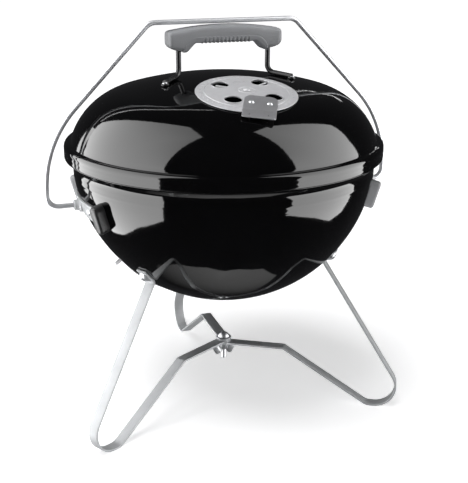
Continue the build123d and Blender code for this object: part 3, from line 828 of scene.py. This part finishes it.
# ---- Vents ------------------------------------------------------------------------------------
@dataclass
class LidDamper:
    """The lid's vent disc, its riveted tab with a folded flap, and the rivets."""

    lid: Lid
    disc: float = 55.0 * MM
    gap: float = 0.4 * MM
    thick: float = 1.0 * MM
    tab_half: float = 17.5 * MM
    tab_inner: float = 20.0 * MM
    tab_fold: float = 54.0 * MM
    tab_end: float = 68.0 * MM
    tab_thick: float = 1.2 * MM
    flap_drop: float = 7.0
    turn: float = -5.0
    skew: float = -18.0
    rivet_x: float = 9.5 * MM
    pips: int = 40
    pip_ring: float = 49.6 * MM
    bar_ring: float = 28.0 * MM
    bar_step: float = 55.0

    def surface(self, radius: float) -> float:
        """Height of the disc's top in its own frame."""
        sphere = self.lid.crown
        return math.sqrt((sphere + self.gap + self.thick) ** 2 - radius ** 2) - sphere

    def build_disc(self) -> None:
        """Make the disc: vent holes with rolled lips, a raised ring and a ring of pips."""
        disc = lathe(cap_profile(self.lid.crown, self.disc, self.gap, self.thick), 128)
        disc = carved(disc, self.lid.vent_tools(Matrix.Identity(4)))
        extras = []
        for quarter in range(4):
            lip = lathe(arc((self.lid.vent + 0.5 * MM, 0), 0.5 * MM, 0, 330, 11), 44, closed=True)
            pitch = self.lid.vent_pitch
            at = turn_z(45 + 90 * quarter) @ offset(pitch, 0, self.surface(pitch))
            extras.append(moved(lip, at))
        for radius, bead in ((45.5 * MM, 0.5 * MM), (9.0 * MM, 0.4 * MM)):
            ring = lathe(arc((radius, self.surface(radius)), bead, 0, 315, 7), 120, closed=True)
            extras.append(ring)
        for k in range(self.pips):
            around = 360.0 * k / self.pips
            pip = block((2.6 * MM, 1.1 * MM, 1.1 * MM))
            soften(pip, list(pip.edges), 0.25 * MM, 2)
            at = turn_z(around) @ offset(self.pip_ring, 0, self.surface(self.pip_ring))
            extras.append(moved(pip, at))
        for side in (-1, 0, 1):
            bar = block((13 * MM, 2.4 * MM, 1.5 * MM))
            soften(bar, list(bar.edges), 0.35 * MM, 3)
            around = turn_z(90 + self.bar_step * side)
            at = around @ offset(self.bar_ring, 0, self.surface(self.bar_ring))
            extras.append(moved(bar, at @ turn_z(90)) if side == 0 else moved(bar, at))
        whole = moved(joined(disc, *extras), self.lid.damper_place())
        piece("vent_disc_alloy", whole, Body.LID_VENT, DISC_ALLOY, ["lid_damper_disc"])

    def tab_place(self) -> Matrix:
        """Where the tab lies on the disc, its Y towards the disc's middle."""
        middle = (self.tab_inner + self.tab_fold) / 2
        sphere = self.lid.crown
        lean = Matrix.Rotation(middle / sphere, 4, "X")
        up = offset(0, 0, sphere + self.gap + self.thick)
        half = (self.tab_fold - self.tab_inner) / 2
        skew = offset(0, -half, 0) @ turn_z(self.skew) @ offset(0, half, 0)
        flat = offset(0, 0, -sphere) @ lean @ up
        return self.lid.damper_place() @ turn_z(self.turn) @ flat @ skew

    def build_tab(self) -> None:
        """Make the tab with rounded inner corners, its flap with two small holes, and its rivets."""
        half = (self.tab_fold - self.tab_inner) / 2
        corner = 9.0 * MM
        wide = self.tab_half
        outline = [(-wide, -half), (wide, -half)]
        outline += arc((wide - corner, half - corner), corner, 0, 90, 8)
        outline += arc((corner - wide, half - corner), corner, 90, 180, 8)
        lay = Matrix.Rotation(math.radians(-90), 4, "X") @ Matrix.Diagonal((1, 1, -1, 1))
        plate = slab([(x, -y) for x, y in outline], self.tab_thick, 0.25 * MM)
        plate = moved(plate, offset(0, 0, self.tab_thick / 2) @ lay)
        bmesh.ops.recalc_face_normals(plate, faces=plate.faces)
        long = self.tab_end - self.tab_fold
        flap_outline = [(-wide, 0.6 * MM), (wide, 0.6 * MM)]
        flap_outline += arc((wide - 2.5 * MM, -long + 2.5 * MM), 2.5 * MM, 0, -90, 5)
        flap_outline += arc((2.5 * MM - wide, -long + 2.5 * MM), 2.5 * MM, -90, -180, 5)
        flap = slab([(x, -y) for x, y in flap_outline], self.tab_thick, 0.25 * MM)
        flap = moved(flap, offset(0, 0, self.tab_thick / 2) @ lay)
        bmesh.ops.recalc_face_normals(flap, faces=flap.faces)
        holes = [moved(barrel(0.9 * MM, 6 * MM, -3 * MM, 20), offset(x, -long * 0.62, 0))
                 for x in (-self.rivet_x, self.rivet_x)]
        flap = carved(flap, holes)
        fold = Matrix.Rotation(math.radians(self.flap_drop), 4, "X")
        flap = moved(flap, offset(0, -half, 0) @ fold)
        whole = moved(joined(plate, flap), self.tab_place())
        piece("vent_tab_alloy", whole, Body.LID_VENT, TAB_ALLOY, ["lid_damper_tab"])
        heads = []
        for x in (-self.rivet_x, self.rivet_x):
            at = self.tab_place() @ offset(x, 0, self.tab_thick)
            heads.append(moved(rivet_head(3.1 * MM, 2.0 * MM), at))
        piece("vent_tab_rivet_heads", joined(*heads), Body.LID_VENT, BOLT_STEEL, ["lid_damper_tab_rivets"])
        at = self.lid.damper_place() @ offset(0, 0, self.gap + self.thick + CLEARANCE)
        piece("vent_centre_rivet", moved(vent_rivet(), at), Body.LID, DISC_ALLOY, ["lid_damper_rivet"])


def rivet_head(radius: float, height: float) -> bmesh.types.BMesh:
    """A domed rivet head that stands on Z.

    Args:
        radius: Its radius.
        height: Its height.

    Returns:
        The head.
    """
    ball = (radius ** 2 + height ** 2) / (2 * height)
    spread = math.degrees(math.asin(radius / ball))
    section = arc((0, height - ball), ball, 90, 90 - spread, 10)
    return lathe(section + [(0, 0)], 32)


def vent_rivet() -> bmesh.types.BMesh:
    """The rivet that a damper turns on, its head above Z zero and its tail inside the shell."""
    shank = barrel(1.9 * MM, 4.5 * MM, -4.3 * MM, 20)
    tail = barrel(3.3 * MM, 1.2 * MM, -4.4 * MM, 24, 0.3 * MM)
    return joined(rivet_head(4.5 * MM, 2.2 * MM), shank, tail)


@dataclass
class BowlDampers:
    """The two ash vents low on the bowl, each a dished disc with a finger tab."""

    sphere: float = 175.6 * MM
    centre_z: float = 313.0 * MM
    disc: float = 38.0 * MM
    tilt: float = 33.0
    gap: float = 0.4 * MM
    thick: float = 1.0 * MM
    vent: float = 7.5 * MM
    vent_pitch: float = 22.0 * MM
    vents: int = 3

    def places(self) -> dict[str, tuple[Body, Matrix]]:
        """Each damper's body and place on the bowl."""
        sides = {"right": (Body.BOWL_VENT_RIGHT, -8.0), "left": (Body.BOWL_VENT_LEFT, 172.0)}
        return {name: (body, on_sphere(self.centre_z, self.sphere, self.tilt, azimuth, True))
                for name, (body, azimuth) in sides.items()}

    def vent_tools(self, place: Matrix) -> list[bmesh.types.BMesh]:
        """Cylinders that cut one damper's vent holes."""
        tools = []
        for k in range(self.vents):
            at = turn_z(90 + 360 * k / self.vents) @ offset(self.vent_pitch, 0, 0)
            tools.append(moved(barrel(self.vent, 16 * MM, -8 * MM, 32), place @ at))
        return tools

    def build(self) -> None:
        """Make both discs with their finger tabs, and their rivets."""
        rivets = []
        for name, (body, place) in self.places().items():
            disc = lathe(cap_profile(self.sphere, self.disc, self.gap, self.thick), 96)
            disc = carved(disc, self.vent_tools(Matrix.Identity(4)))
            root = self.disc - 5 * MM
            drop = root ** 2 / (2 * self.sphere)
            outline = [(-6 * MM, 0), (6 * MM, 0)]
            outline += arc((3 * MM, 8 * MM), 3 * MM, 0, 90, 6) + arc((-3 * MM, 8 * MM), 3 * MM, 90, 180, 6)
            finger = slab(outline, self.thick, 0.25 * MM)
            lean = Matrix.Rotation(math.radians(-20), 4, "X")
            finger = moved(finger, offset(0, root, self.gap + 0.4 * MM - drop) @ lean)
            whole = moved(joined(disc, finger), place)
            piece(f"ash_vent_{name}", whole, body, DISC_ALLOY, [f"bowl_damper_{name}"])
            up = offset(0, 0, self.gap + self.thick + CLEARANCE)
            rivets.append(moved(vent_rivet(), place @ up))
        piece("ash_vent_rivets", joined(*rivets), Body.STAND, DISC_ALLOY, ["bowl_damper_rivets"])


# ---- Bowl -------------------------------------------------------------------------------------
@dataclass
class Bowl:
    """The enamelled bowl: flared lip, upper band with two faint ribs, and spherical bottom."""

    sphere: float = 175.6 * MM
    centre_z: float = 313.0 * MM
    wall: float = 174.3 * MM
    band: float = 92.8 * MM
    band_z: float = 298.7 * MM
    flare_z: float = 304.6 * MM
    seam: float = 313.2 * MM
    lip: float = 183.7 * MM
    sheet: float = 1.2 * MM
    ribs: tuple[float, ...] = (292.0 * MM, 281.0 * MM)
    rib_rise: float = 0.12 * MM
    rib_width: float = 1.6 * MM

    def wall_profile(self, inset: float) -> Profile:
        """Section of the wall from the flare down to the axis.

        Args:
            inset: Distance inside the outer skin.

        Returns:
            The section's points.
        """
        axis = self.wall - self.band
        join = math.degrees(math.atan2(self.centre_z - self.band_z, axis))
        section = [(self.wall - inset, self.flare_z - 1.2 * MM)]
        section += arc((axis, self.band_z), self.band - inset, 0, -join, 30)
        section += arc((0, self.centre_z), self.sphere - inset, -join, -90, 48)[1:]
        swell = [sum(math.exp(-((z - rib) / self.rib_width) ** 2) for rib in self.ribs) for _, z in section]
        return [(r + self.rib_rise * rise, z) for (r, z), rise in zip(section, swell)]

    def profile(self) -> Profile:
        """The whole section, outside first, from the bottom up over the lip and down inside."""
        outside = self.wall_profile(0.0)[::-1]
        outside += [(self.wall + 0.5 * MM, self.flare_z + 0.2 * MM)]
        outside += [(self.wall + 7.2 * MM, self.seam - 1.7 * MM)]
        outside += [(self.wall + 8.0 * MM, self.seam - 1.05 * MM)]
        outside += arc((self.lip - 0.45 * MM, self.seam - 0.47 * MM), 0.45 * MM, -90, 90, 8)
        inside = [(181.6 * MM, self.seam - 0.02 * MM), (self.wall + 6.0 * MM, self.seam - 1.0 * MM)]
        inside += [(self.wall - 0.6 * MM, self.flare_z + 0.6 * MM)]
        return outside + inside + self.wall_profile(self.sheet)

    def build(self, dampers: BowlDampers) -> None:
        """Make the shell with its ash vents.

        Args:
            dampers: The vents that cover the holes.
        """
        tools = [tool for _, place in dampers.places().values() for tool in dampers.vent_tools(place)]
        shell = carved(lathe(self.profile(), SHELL_STEPS), tools)
        piece("bowl_enamel_shell", shell, Body.STAND, ENAMEL, ["bowl_shell"])
        dress("grate_brackets", ENAMEL)


# ---- Legs -------------------------------------------------------------------------------------
@dataclass
class Legs:
    """Three bent straps, their bolts, and the hub where they meet."""

    bowl: Bowl
    wide: float = 13.0 * MM
    thick: float = 2.5 * MM
    tilt: float = 47.0
    above: float = 11.0 * MM
    below: float = 11.5 * MM
    foot_out: float = 235.9 * MM
    foot_in: float = 180.5 * MM
    knee: float = 76.0 * MM
    hub_z: float = 69.0 * MM
    bends: tuple[float, ...] = (4 * MM, 26 * MM, 15 * MM, 4 * MM)
    wing: tuple[float, float, float] = (8 * MM, 2 * MM, 14 * MM)
    wing_lean: float = 28.0
    azimuths: tuple[tuple[str, float], ...] = (("rear", 90.0), ("front_left", 210.0), ("front_right", 330.0))

    def route(self, hub_z: float) -> list[Vector]:
        """The strap's rounded middle line in X and Z.

        Args:
            hub_z: Height of this strap's end at the hub.

        Returns:
            The points.
        """
        tilt = math.radians(self.tilt)
        off = self.bowl.sphere + self.thick / 2
        bolt = Vector((off * math.sin(tilt), 0, self.bowl.centre_z - off * math.cos(tilt)))
        along = Vector((math.cos(tilt), 0, math.sin(tilt)))
        floor = self.thick / 2
        corners = [bolt + along * self.above, bolt - along * self.below]
        corners += [Vector((self.foot_out, 0, floor)), Vector((self.foot_in, 0, floor))]
        corners += [Vector((self.knee, 0, hub_z)), Vector((4 * MM, 0, hub_z))]
        return rounded_path(corners, self.bends, 14)

    def bolt_place(self, azimuth: float) -> Matrix:
        """Where a leg's bolt stands on the bowl."""
        return on_sphere(self.bowl.centre_z, self.bowl.sphere, self.tilt, azimuth, True)

    def build(self) -> None:
        """Make the straps, bolts, hub bolt and wing nut."""
        heads = []
        for level, (name, azimuth) in enumerate(self.azimuths):
            hub_z = self.hub_z + (1 - level) * self.thick
            strap = slab(strip_outline(self.route(hub_z), self.thick), self.wide, 0.35 * MM)
            eye = barrel(9 * MM, self.thick - 0.06 * MM, hub_z - self.thick / 2 + 0.03 * MM, 40, 0.3 * MM)
            whole = moved(joined(strap, eye), turn_z(azimuth))
            piece(f"bent_strap_{name}", whole, Body.STAND, STRAP_ZINC, [f"leg_{name}"], 40.0)
            head = lathe([(0, 7.4 * MM), (2.6 * MM, 7.1 * MM), (5.0 * MM, 6.0 * MM), (6.6 * MM, 4.4 * MM),
                          (7.4 * MM, 3.2 * MM), (7.5 * MM, 2.6 * MM), (3.0 * MM, 2.55 * MM),
                          (3.0 * MM, -8.4 * MM), (2.6 * MM, -8.5 * MM), (0, -8.5 * MM)], 36)
            heads.append(moved(head, self.bolt_place(azimuth)))
        piece("leg_bolt_heads", joined(*heads), Body.STAND, BOLT_STEEL, ["leg_bolts"])
        dress("leg_nuts", STRAP_ZINC)
        self.build_hub()

    def build_hub(self) -> None:
        """Make the hub's washer, its domed bolt and the wing nut under the straps."""
        top = self.hub_z + 1.5 * self.thick
        low = self.hub_z - 1.5 * self.thick
        washer = lathe([(3.3 * MM, top), (9.2 * MM, top), (9.5 * MM, top + 0.4 * MM),
                        (8.6 * MM, top + 1.2 * MM), (6.5 * MM, top + 1.5 * MM), (3.3 * MM, top + 1.5 * MM)],
                       40, closed=True)
        piece("hub_dished_washer", washer, Body.STAND, BOLT_STEEL, ["hub_washer"])
        head = top + 1.5 * MM
        bolt = lathe([(0, head + 5.5 * MM), (2.4 * MM, head + 5.1 * MM), (4.9 * MM, head + 3.7 * MM),
                      (6.6 * MM, head + 1.8 * MM), (7.4 * MM, head + 0.3 * MM), (7.2 * MM, head),
                      (3.0 * MM, head), (3.0 * MM, top - 27.5 * MM), (2.4 * MM, top - 28.2 * MM),
                      (0, top - 28.2 * MM)], 36)
        piece("hub_domed_bolt", bolt, Body.STAND, BOLT_STEEL, ["hub_bolt"])
        under = low - 0.2 * MM
        nut = lathe([(3.1 * MM, under), (5.9 * MM, under), (6.2 * MM, under - 0.5 * MM),
                     (5.4 * MM, under - 6.5 * MM), (4.6 * MM, under - 8.0 * MM),
                     (3.1 * MM, under - 8.0 * MM)], 32, closed=True)
        for side in (-1, 1):
            at = offset(side * 9.3 * MM, 0, under - 8.2 * MM)
            lean = Matrix.Rotation(math.radians(side * self.wing_lean), 4, "Y")
            blade = block(self.wing, at @ lean)
            across = [e for e in blade.edges if abs((e.verts[0].co - e.verts[1].co).normalized().y) > 0.9]
            soften(blade, across, 3.2 * MM, 6)
            soften(blade, sharp_edges(blade), 0.5 * MM, 2)
            nut = joined(nut, blade)
        piece("hub_wing_nut", nut, Body.WING_NUT, BOLT_STEEL, ["wing_nut"])


# ---- Bail -------------------------------------------------------------------------------------
@dataclass
class Bail:
    """The carrying wire, the two brackets that hug the bowl, their rivets and moulded stops."""

    bowl: Bowl
    wire: float = 2.75 * MM
    pivot_z: float = 262.0 * MM
    top_z: float = 460.0 * MM
    half: float = 207.0 * MM
    corner: float = 84.8 * MM
    knee_z: float = 333.0 * MM
    toe: float = 171.0 * MM
    strap_half: float = 10.0 * MM
    strap_thick: float = 2.0 * MM
    strap_angle: float = 47.0
    pad_z: float = 264.5 * MM
    pad_off: float = 22.5
    pad: tuple[float, float, float] = (13.2 * MM, 33.6 * MM, 12.6 * MM)
    rivet_off: float = 11.0
    rivet_tilt: float = 73.1

    def build_wire(self) -> None:
        """Make the bail's wire."""
        side = [(self.toe, self.pivot_z), (self.half, self.pivot_z)]
        side += [(self.half, self.knee_z), (self.corner, self.top_z)]
        route = [Vector((-x, 0, z)) for x, z in side] + [Vector((x, 0, z)) for x, z in reversed(side)]
        bends = [13 * MM, 130 * MM, 16 * MM, 16 * MM, 130 * MM, 13 * MM]
        piece("bail_plated_wire", tube(rounded_path(route, bends, 16), self.wire, 7), Body.BAIL, WIRE,
              ["bail_wire"])

    def build_brackets(self) -> None:
        """Make both straps with their bosses, and the domed rivets."""
        sphere, centre = self.bowl.sphere, self.bowl.centre_z
        low = math.degrees(math.asin((centre - self.pivot_z + self.strap_half) / sphere))
        high = math.degrees(math.asin((centre - self.pivot_z - self.strap_half) / sphere))
        section = arc((0, centre), sphere + self.strap_thick, -low, -high, 8)
        section += arc((0, centre), sphere + 0.05 * MM, -high, -low, 8)
        rivets = []
        for name, azimuth in (("right", 0.0), ("left", 180.0)):
            strap = lathe(section, 40, closed=True, angle=self.strap_angle)
            soften(strap, sharp_edges(strap, 60.0), 0.3 * MM, 2)
            moved(strap, turn_z(-self.strap_angle / 2))
            boss = lathe([(0, 165 * MM), (8.6 * MM, 168 * MM), (8.4 * MM, 171 * MM), (6.8 * MM, 172.6 * MM),
                          (6.0 * MM, 174 * MM), (6.0 * MM, 177.1 * MM), (5.6 * MM, 177.5 * MM),
                          (3.2 * MM, 177.5 * MM), (2.85 * MM, 177.0 * MM), (2.85 * MM, 170.8 * MM),
                          (0, 170.8 * MM)], 36)
            out = offset(0, 0, self.pivot_z) @ Matrix.Rotation(math.radians(90), 4, "Y")
            whole = moved(joined(strap, moved(boss, out)), turn_z(azimuth))
            piece(f"bail_strap_{name}", whole, Body.STAND, STRAP_ZINC, [f"bail_bracket_{name}"], 40.0)
            for off in (-self.rivet_off, self.rivet_off):
                place = on_sphere(centre, sphere, self.rivet_tilt, azimuth + off, True)
                up = offset(0, 0, self.strap_thick)
                shank = barrel(1.9 * MM, 4.2 * MM, -3.9 * MM, 18)
                tail = barrel(3.0 * MM, 1.1 * MM, -4.4 * MM, 24, 0.3 * MM)
                rivets.append(moved(joined(rivet_head(4 * MM, 1.8 * MM), shank, tail), place @ up))
        piece("bail_strap_rivets", joined(*rivets), Body.STAND, BOLT_STEEL, ["bracket_rivets"])

    def build_pads(self) -> None:
        """Make the four moulded stops at the ends of the straps."""
        azimuths = {"front_right": -self.pad_off, "rear_right": self.pad_off,
                    "rear_left": 180 - self.pad_off, "front_left": 180 + self.pad_off}
        tilt = math.degrees(math.acos((self.bowl.centre_z - self.pad_z) / self.bowl.sphere))
        for name, azimuth in azimuths.items():
            pad = block(self.pad, offset(0, 0, 5.4 * MM))
            upright = [e for e in pad.edges if abs((e.verts[0].co - e.verts[1].co).normalized().z) > 0.9]
            soften(pad, upright, 6.4 * MM, 9)
            crown = [e for e in sharp_edges(pad, 60.0) if min(v.co.z for v in e.verts) > 9 * MM]
            soften(pad, crown, 3.2 * MM, 6)
            place = on_sphere(self.bowl.centre_z, self.bowl.sphere, tilt, azimuth, True)
            # The front-left stop gets the black nylon. The other three get the paler grey nylon, a painted
            # highlight for how they are lit.
            finish = PAD_DARK if name == "front_left" else PAD_NYLON_PAINTED_LIT
            piece(f"moulded_stop_{name}", moved(pad, place), Body.STAND, finish, [f"bracket_pad_{name}"])


# ---- Grates -----------------------------------------------------------------------------------
@dataclass
class Grate:
    """A welded wire grate: a ring, parallel rods and cross wires under them."""

    name: str
    node: str
    body: Body
    radius: float
    rods: int
    pitch: float
    cross: tuple[float, ...]
    wire: float = 2.4 * MM
    rod: float = 1.9 * MM

    def build(self) -> None:
        """Make the grate at its CAD node's height."""
        low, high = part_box(self.node)
        z = (low.z + high.z) / 2
        parts = [lathe(arc((self.radius, z), self.wire, 0, 330, 11), 120, closed=True)]
        for k in range(self.rods):
            x = (k - (self.rods - 1) / 2) * self.pitch
            reach = 2 * math.sqrt(self.radius ** 2 - x ** 2)
            rod = barrel(self.rod, reach, -reach / 2, 12)
            lay = offset(x, 0, z + 0.5 * MM) @ Matrix.Rotation(math.radians(90), 4, "X")
            parts.append(moved(rod, lay))
        for y in self.cross:
            reach = 2 * math.sqrt(self.radius ** 2 - y ** 2)
            rod = barrel(self.rod, reach, -reach / 2, 12)
            lay = offset(0, y, z - 0.5 * MM) @ Matrix.Rotation(math.radians(90), 4, "Y")
            parts.append(moved(rod, lay))
        piece(self.name, joined(*parts), self.body, GRATE_STEEL, [self.node])


# ---- Studio -----------------------------------------------------------------------------------
@dataclass(frozen=True)
class Panel:
    """A flat light seen only in reflections, its corners given as directions from the kettle."""

    name: str
    strength: float
    corners: tuple[tuple[float, float], ...]
    fall: float = 1.0
    span: tuple[float, float] = (0.2, 3.3)
    reach: float = 3.0
    height: float = 0.3

    def build(self) -> None:
        """Hang the panel round the kettle."""
        bm = bmesh.new()
        verts = []
        for azimuth, elevation in self.corners:
            a, e = math.radians(azimuth), math.radians(elevation)
            way = Vector((math.cos(e) * math.cos(a), math.cos(e) * math.sin(a), math.sin(e)))
            verts.append(bm.verts.new(way * self.reach + Vector((0, 0, self.height))))
        hub = bm.verts.new(sum((v.co for v in verts), Vector()) / len(verts))
        for first, second in zip(verts, verts[1:] + verts[:1]):
            bm.faces.new((hub, first, second))
        paint = glow(self.name, self.strength, self.fall, self.span)
        show_stage(self.name, bm, paint, camera=False, diffuse=False, glossy=True)


def edge_strip(name: str, strength: float, line: Sequence[tuple[float, float]],
               width: float = 0.8) -> list[Panel]:
    """Narrow panels that follow a bent line of directions.

    Args:
        name: First part of the panels' names.
        strength: How bright they are.
        line: The directions, as azimuth and elevation in degrees.
        width: The strip's width in degrees of elevation.

    Returns:
        One panel for each straight run.
    """
    panels = []
    for k, (start, end) in enumerate(zip(line, line[1:])):
        over = [(azimuth + width / 2, elevation + width) for azimuth, elevation in (end, start)]
        panels.append(Panel(f"{name}_{k}", strength, (start, end, *over)))
    return panels


def glow(name: str, strength: float, fall: float = 1.0,
         span: tuple[float, float] = (0.2, 3.3)) -> bpy.types.Material:
    """A plain white light-giving material.

    Args:
        name: Its name.
        strength: How bright it is.
        fall: Share of the brightness left high up, where it fades towards its top.
        span: Heights between which it fades.

    Returns:
        The material.
    """
    made = bpy.data.materials.new(name)
    made.use_nodes = True
    tree = made.node_tree
    tree.nodes.clear()
    light = put(tree, "ShaderNodeEmission", None, {"Strength": strength})
    if fall < 1.0:
        place = put(tree, "ShaderNodeTexCoord")
        split = put(tree, "ShaderNodeSeparateXYZ", {0: place.outputs["Object"]})
        ramp = put(tree, "ShaderNodeMapRange", {"Value": split.outputs["Z"]},
                   {"From Min": span[0], "From Max": span[1], "To Min": strength, "To Max": strength * fall})
        ramp.interpolation_type = "SMOOTHSTEP"
        tree.links.new(ramp.outputs["Result"], light.inputs["Strength"])
    put(tree, "ShaderNodeOutputMaterial", {"Surface": light.outputs[0]})
    return made


def show_stage(name: str, bm: bmesh.types.BMesh, material: bpy.types.Material, camera: bool,
               diffuse: bool, glossy: bool) -> bpy.types.Object:
    """Put a shape into the studio, apart from the object.

    Args:
        name: Its name.
        bm: Its shape.
        material: Its material.
        camera: Whether the camera sees it.
        diffuse: Whether it lights matt surfaces.
        glossy: Whether it shows in reflections.

    Returns:
        The studio piece.
    """
    mesh = bpy.data.meshes.new(name)
    bm.to_mesh(mesh)
    bm.free()
    mesh.materials.append(material)
    made = bpy.data.objects.new(name, mesh)
    bpy.context.scene.collection.objects.link(made)
    made.visible_camera = camera
    made.visible_diffuse = diffuse
    made.visible_glossy = glossy
    made.visible_transmission = camera
    made.visible_shadow = camera
    return made


@dataclass
class Studio:
    """Pale floor, white surround, soft overhead light, reflection panels and the camera."""

    floor_half: float = 12.0
    floor_glow: float = 0.64
    floor_fade: tuple[float, float] = (0.35, 1.6)
    light_size: float = 1.5
    light_place: tuple[float, float, float] = (-0.62, -0.3, 2.4)
    light_power: float = 62.0
    eye: tuple[float, float, float] = (-0.3205, -0.9834, 0.5617)
    heading: float = 18.05
    pitch: float = 19.32
    focal_length: float = 67.6
    shift: float = 0.0215

    def build(self) -> None:
        """Set up floor, surround, lights and camera."""
        bpy.context.scene.view_settings.view_transform = "Standard"
        self._floor()
        self._light()
        for panel in self._panels():
            panel.build()
        self._camera()

    def _floor(self) -> None:
        """Lay the pale floor and the white surround."""
        paint = bpy.data.materials.new("pale_floor")
        paint.use_nodes = True
        shader = paint.node_tree.nodes["Principled BSDF"]
        shader.inputs["Base Color"].default_value = (0.85, 0.85, 0.86, 1.0)
        shader.inputs["Roughness"].default_value = 0.9
        shader.inputs["Specular IOR Level"].default_value = 0.0
        shader.inputs["Emission Color"].default_value = (1.0, 1.0, 1.0, 1.0)
        tree = paint.node_tree
        place = put(tree, "ShaderNodeTexCoord")
        away = put(tree, "ShaderNodeVectorMath", {0: place.outputs["Object"]})
        away.operation = "LENGTH"
        near, far = self.floor_fade
        fade = put(tree, "ShaderNodeMapRange", {"Value": away.outputs["Value"]},
                   {"From Min": near, "From Max": far, "To Min": self.floor_glow, "To Max": 1.0})
        tree.links.new(fade.outputs["Result"], shader.inputs["Emission Strength"])
        bm = bmesh.new()
        bmesh.ops.create_grid(bm, x_segments=1, y_segments=1, size=self.floor_half)
        show_stage("floor", bm, paint, camera=True, diffuse=True, glossy=False)
        dome = bmesh.new()
        bmesh.ops.create_icosphere(dome, subdivisions=4, radius=self.floor_half * 1.2)
        bmesh.ops.reverse_faces(dome, faces=dome.faces)
        sky = show_stage("white_surround", dome, glow("white_surround", 1.0), camera=True,
                         diffuse=False, glossy=False)
        sky.visible_shadow = False
        world = bpy.data.worlds.new("dim_room")
        world.use_nodes = True
        world.node_tree.nodes["Background"].inputs["Color"].default_value = (0.03, 0.03, 0.032, 1.0)
        bpy.context.scene.world = world

    def _light(self) -> None:
        """Hang the wide overhead light, which shows in no reflection."""
        lamp = bpy.data.lights.new("overhead", "AREA")
        lamp.shape = "SQUARE"
        lamp.size = self.light_size
        lamp.energy = self.light_power
        holder = bpy.data.objects.new("overhead", lamp)
        holder.location = self.light_place
        holder.rotation_euler = Vector(self.light_place).to_track_quat("Z", "Y").to_euler()
        holder.visible_glossy = False
        bpy.context.scene.collection.objects.link(holder)

    @staticmethod
    def _panels() -> list[Panel]:
        """The lights seen in the enamel: tall ones left and right, thin edges and the bounce below."""
        panels = [
            Panel("left_panel", 5.6, ((134, -38), (133, 8), (123, 26), (156, 75), (217, 71), (209, 28),
                                      (209, -17), (203, -37), (173, -41), (147, -42)), 0.4),
            Panel("left_sliver", 3.6, ((121, -20), (121, 18), (129, 22), (131, 0), (131, -24))),
            Panel("right_panel", 5.0, ((-44, 74), (-5, 70), (11, 37), (3, 20), (3, -20), (0, -30),
                                       (-10, -35.5), (-28, -35), (-60, -31), (-56, 0), (-55, 39)), 0.5),
            Panel("floor_bounce", 1.1, ((-107, -84), (-150, -78), (170, -68), (140, -60), (100, -54),
                                        (60, -56), (20, -64), (-20, -72), (-65, -80)), 0.0, (-2.78, -2.1)),
        ]
        panels += edge_strip("top_edge_left", 3.6, ((121, 25), (107, 40), (97, 48), (76, 52.5)))
        panels += edge_strip("top_edge_right", 3.4, ((71, 49.5), (60, 29), (58, 19), (53, 16), (47, 16)))
        return panels

    def _camera(self) -> None:
        """Place the camera at the eye, looking down along its heading."""
        lens = bpy.data.cameras.new("camera")
        lens.sensor_width = 36.0
        lens.lens = self.focal_length
        lens.shift_x = self.shift
        lens.clip_end = 60.0
        holder = bpy.data.objects.new("camera", lens)
        a, e = math.radians(self.heading), math.radians(self.pitch)
        way = Vector((math.sin(a) * math.cos(e), math.cos(a) * math.cos(e), -math.sin(e)))
        holder.rotation_euler = way.to_track_quat("-Z", "Y").to_euler()
        holder.location = self.eye
        bpy.context.scene.collection.objects.link(holder)
        bpy.context.scene.camera = holder


def main() -> None:
    """Build the grill's sub-assemblies in order, then the studio."""
    logging.basicConfig(level=logging.INFO, format="%(name)s: %(message)s")
    lid = Lid()
    lid.build()
    handle = LidHandle(lid)
    handle.build_rod()
    handle.build_grip()
    damper = LidDamper(lid)
    damper.build_disc()
    damper.build_tab()
    vents = BowlDampers()
    bowl = Bowl()
    bowl.build(vents)
    vents.build()
    Legs(bowl).build()
    bail = Bail(bowl)
    bail.build_wire()
    bail.build_brackets()
    bail.build_pads()
    Grate("cooking_wire_grate", "cooking_grate", Body.COOKING_GRATE, 168 * MM, 23, 14 * MM,
          (-70 * MM, 70 * MM)).build()
    Grate("charcoal_wire_grate", "charcoal_grate", Body.CHARCOAL_GRATE, 131 * MM, 13, 18 * MM,
          (0.0,)).build()
    Studio().build()


if __name__ == "__main__":
    main()
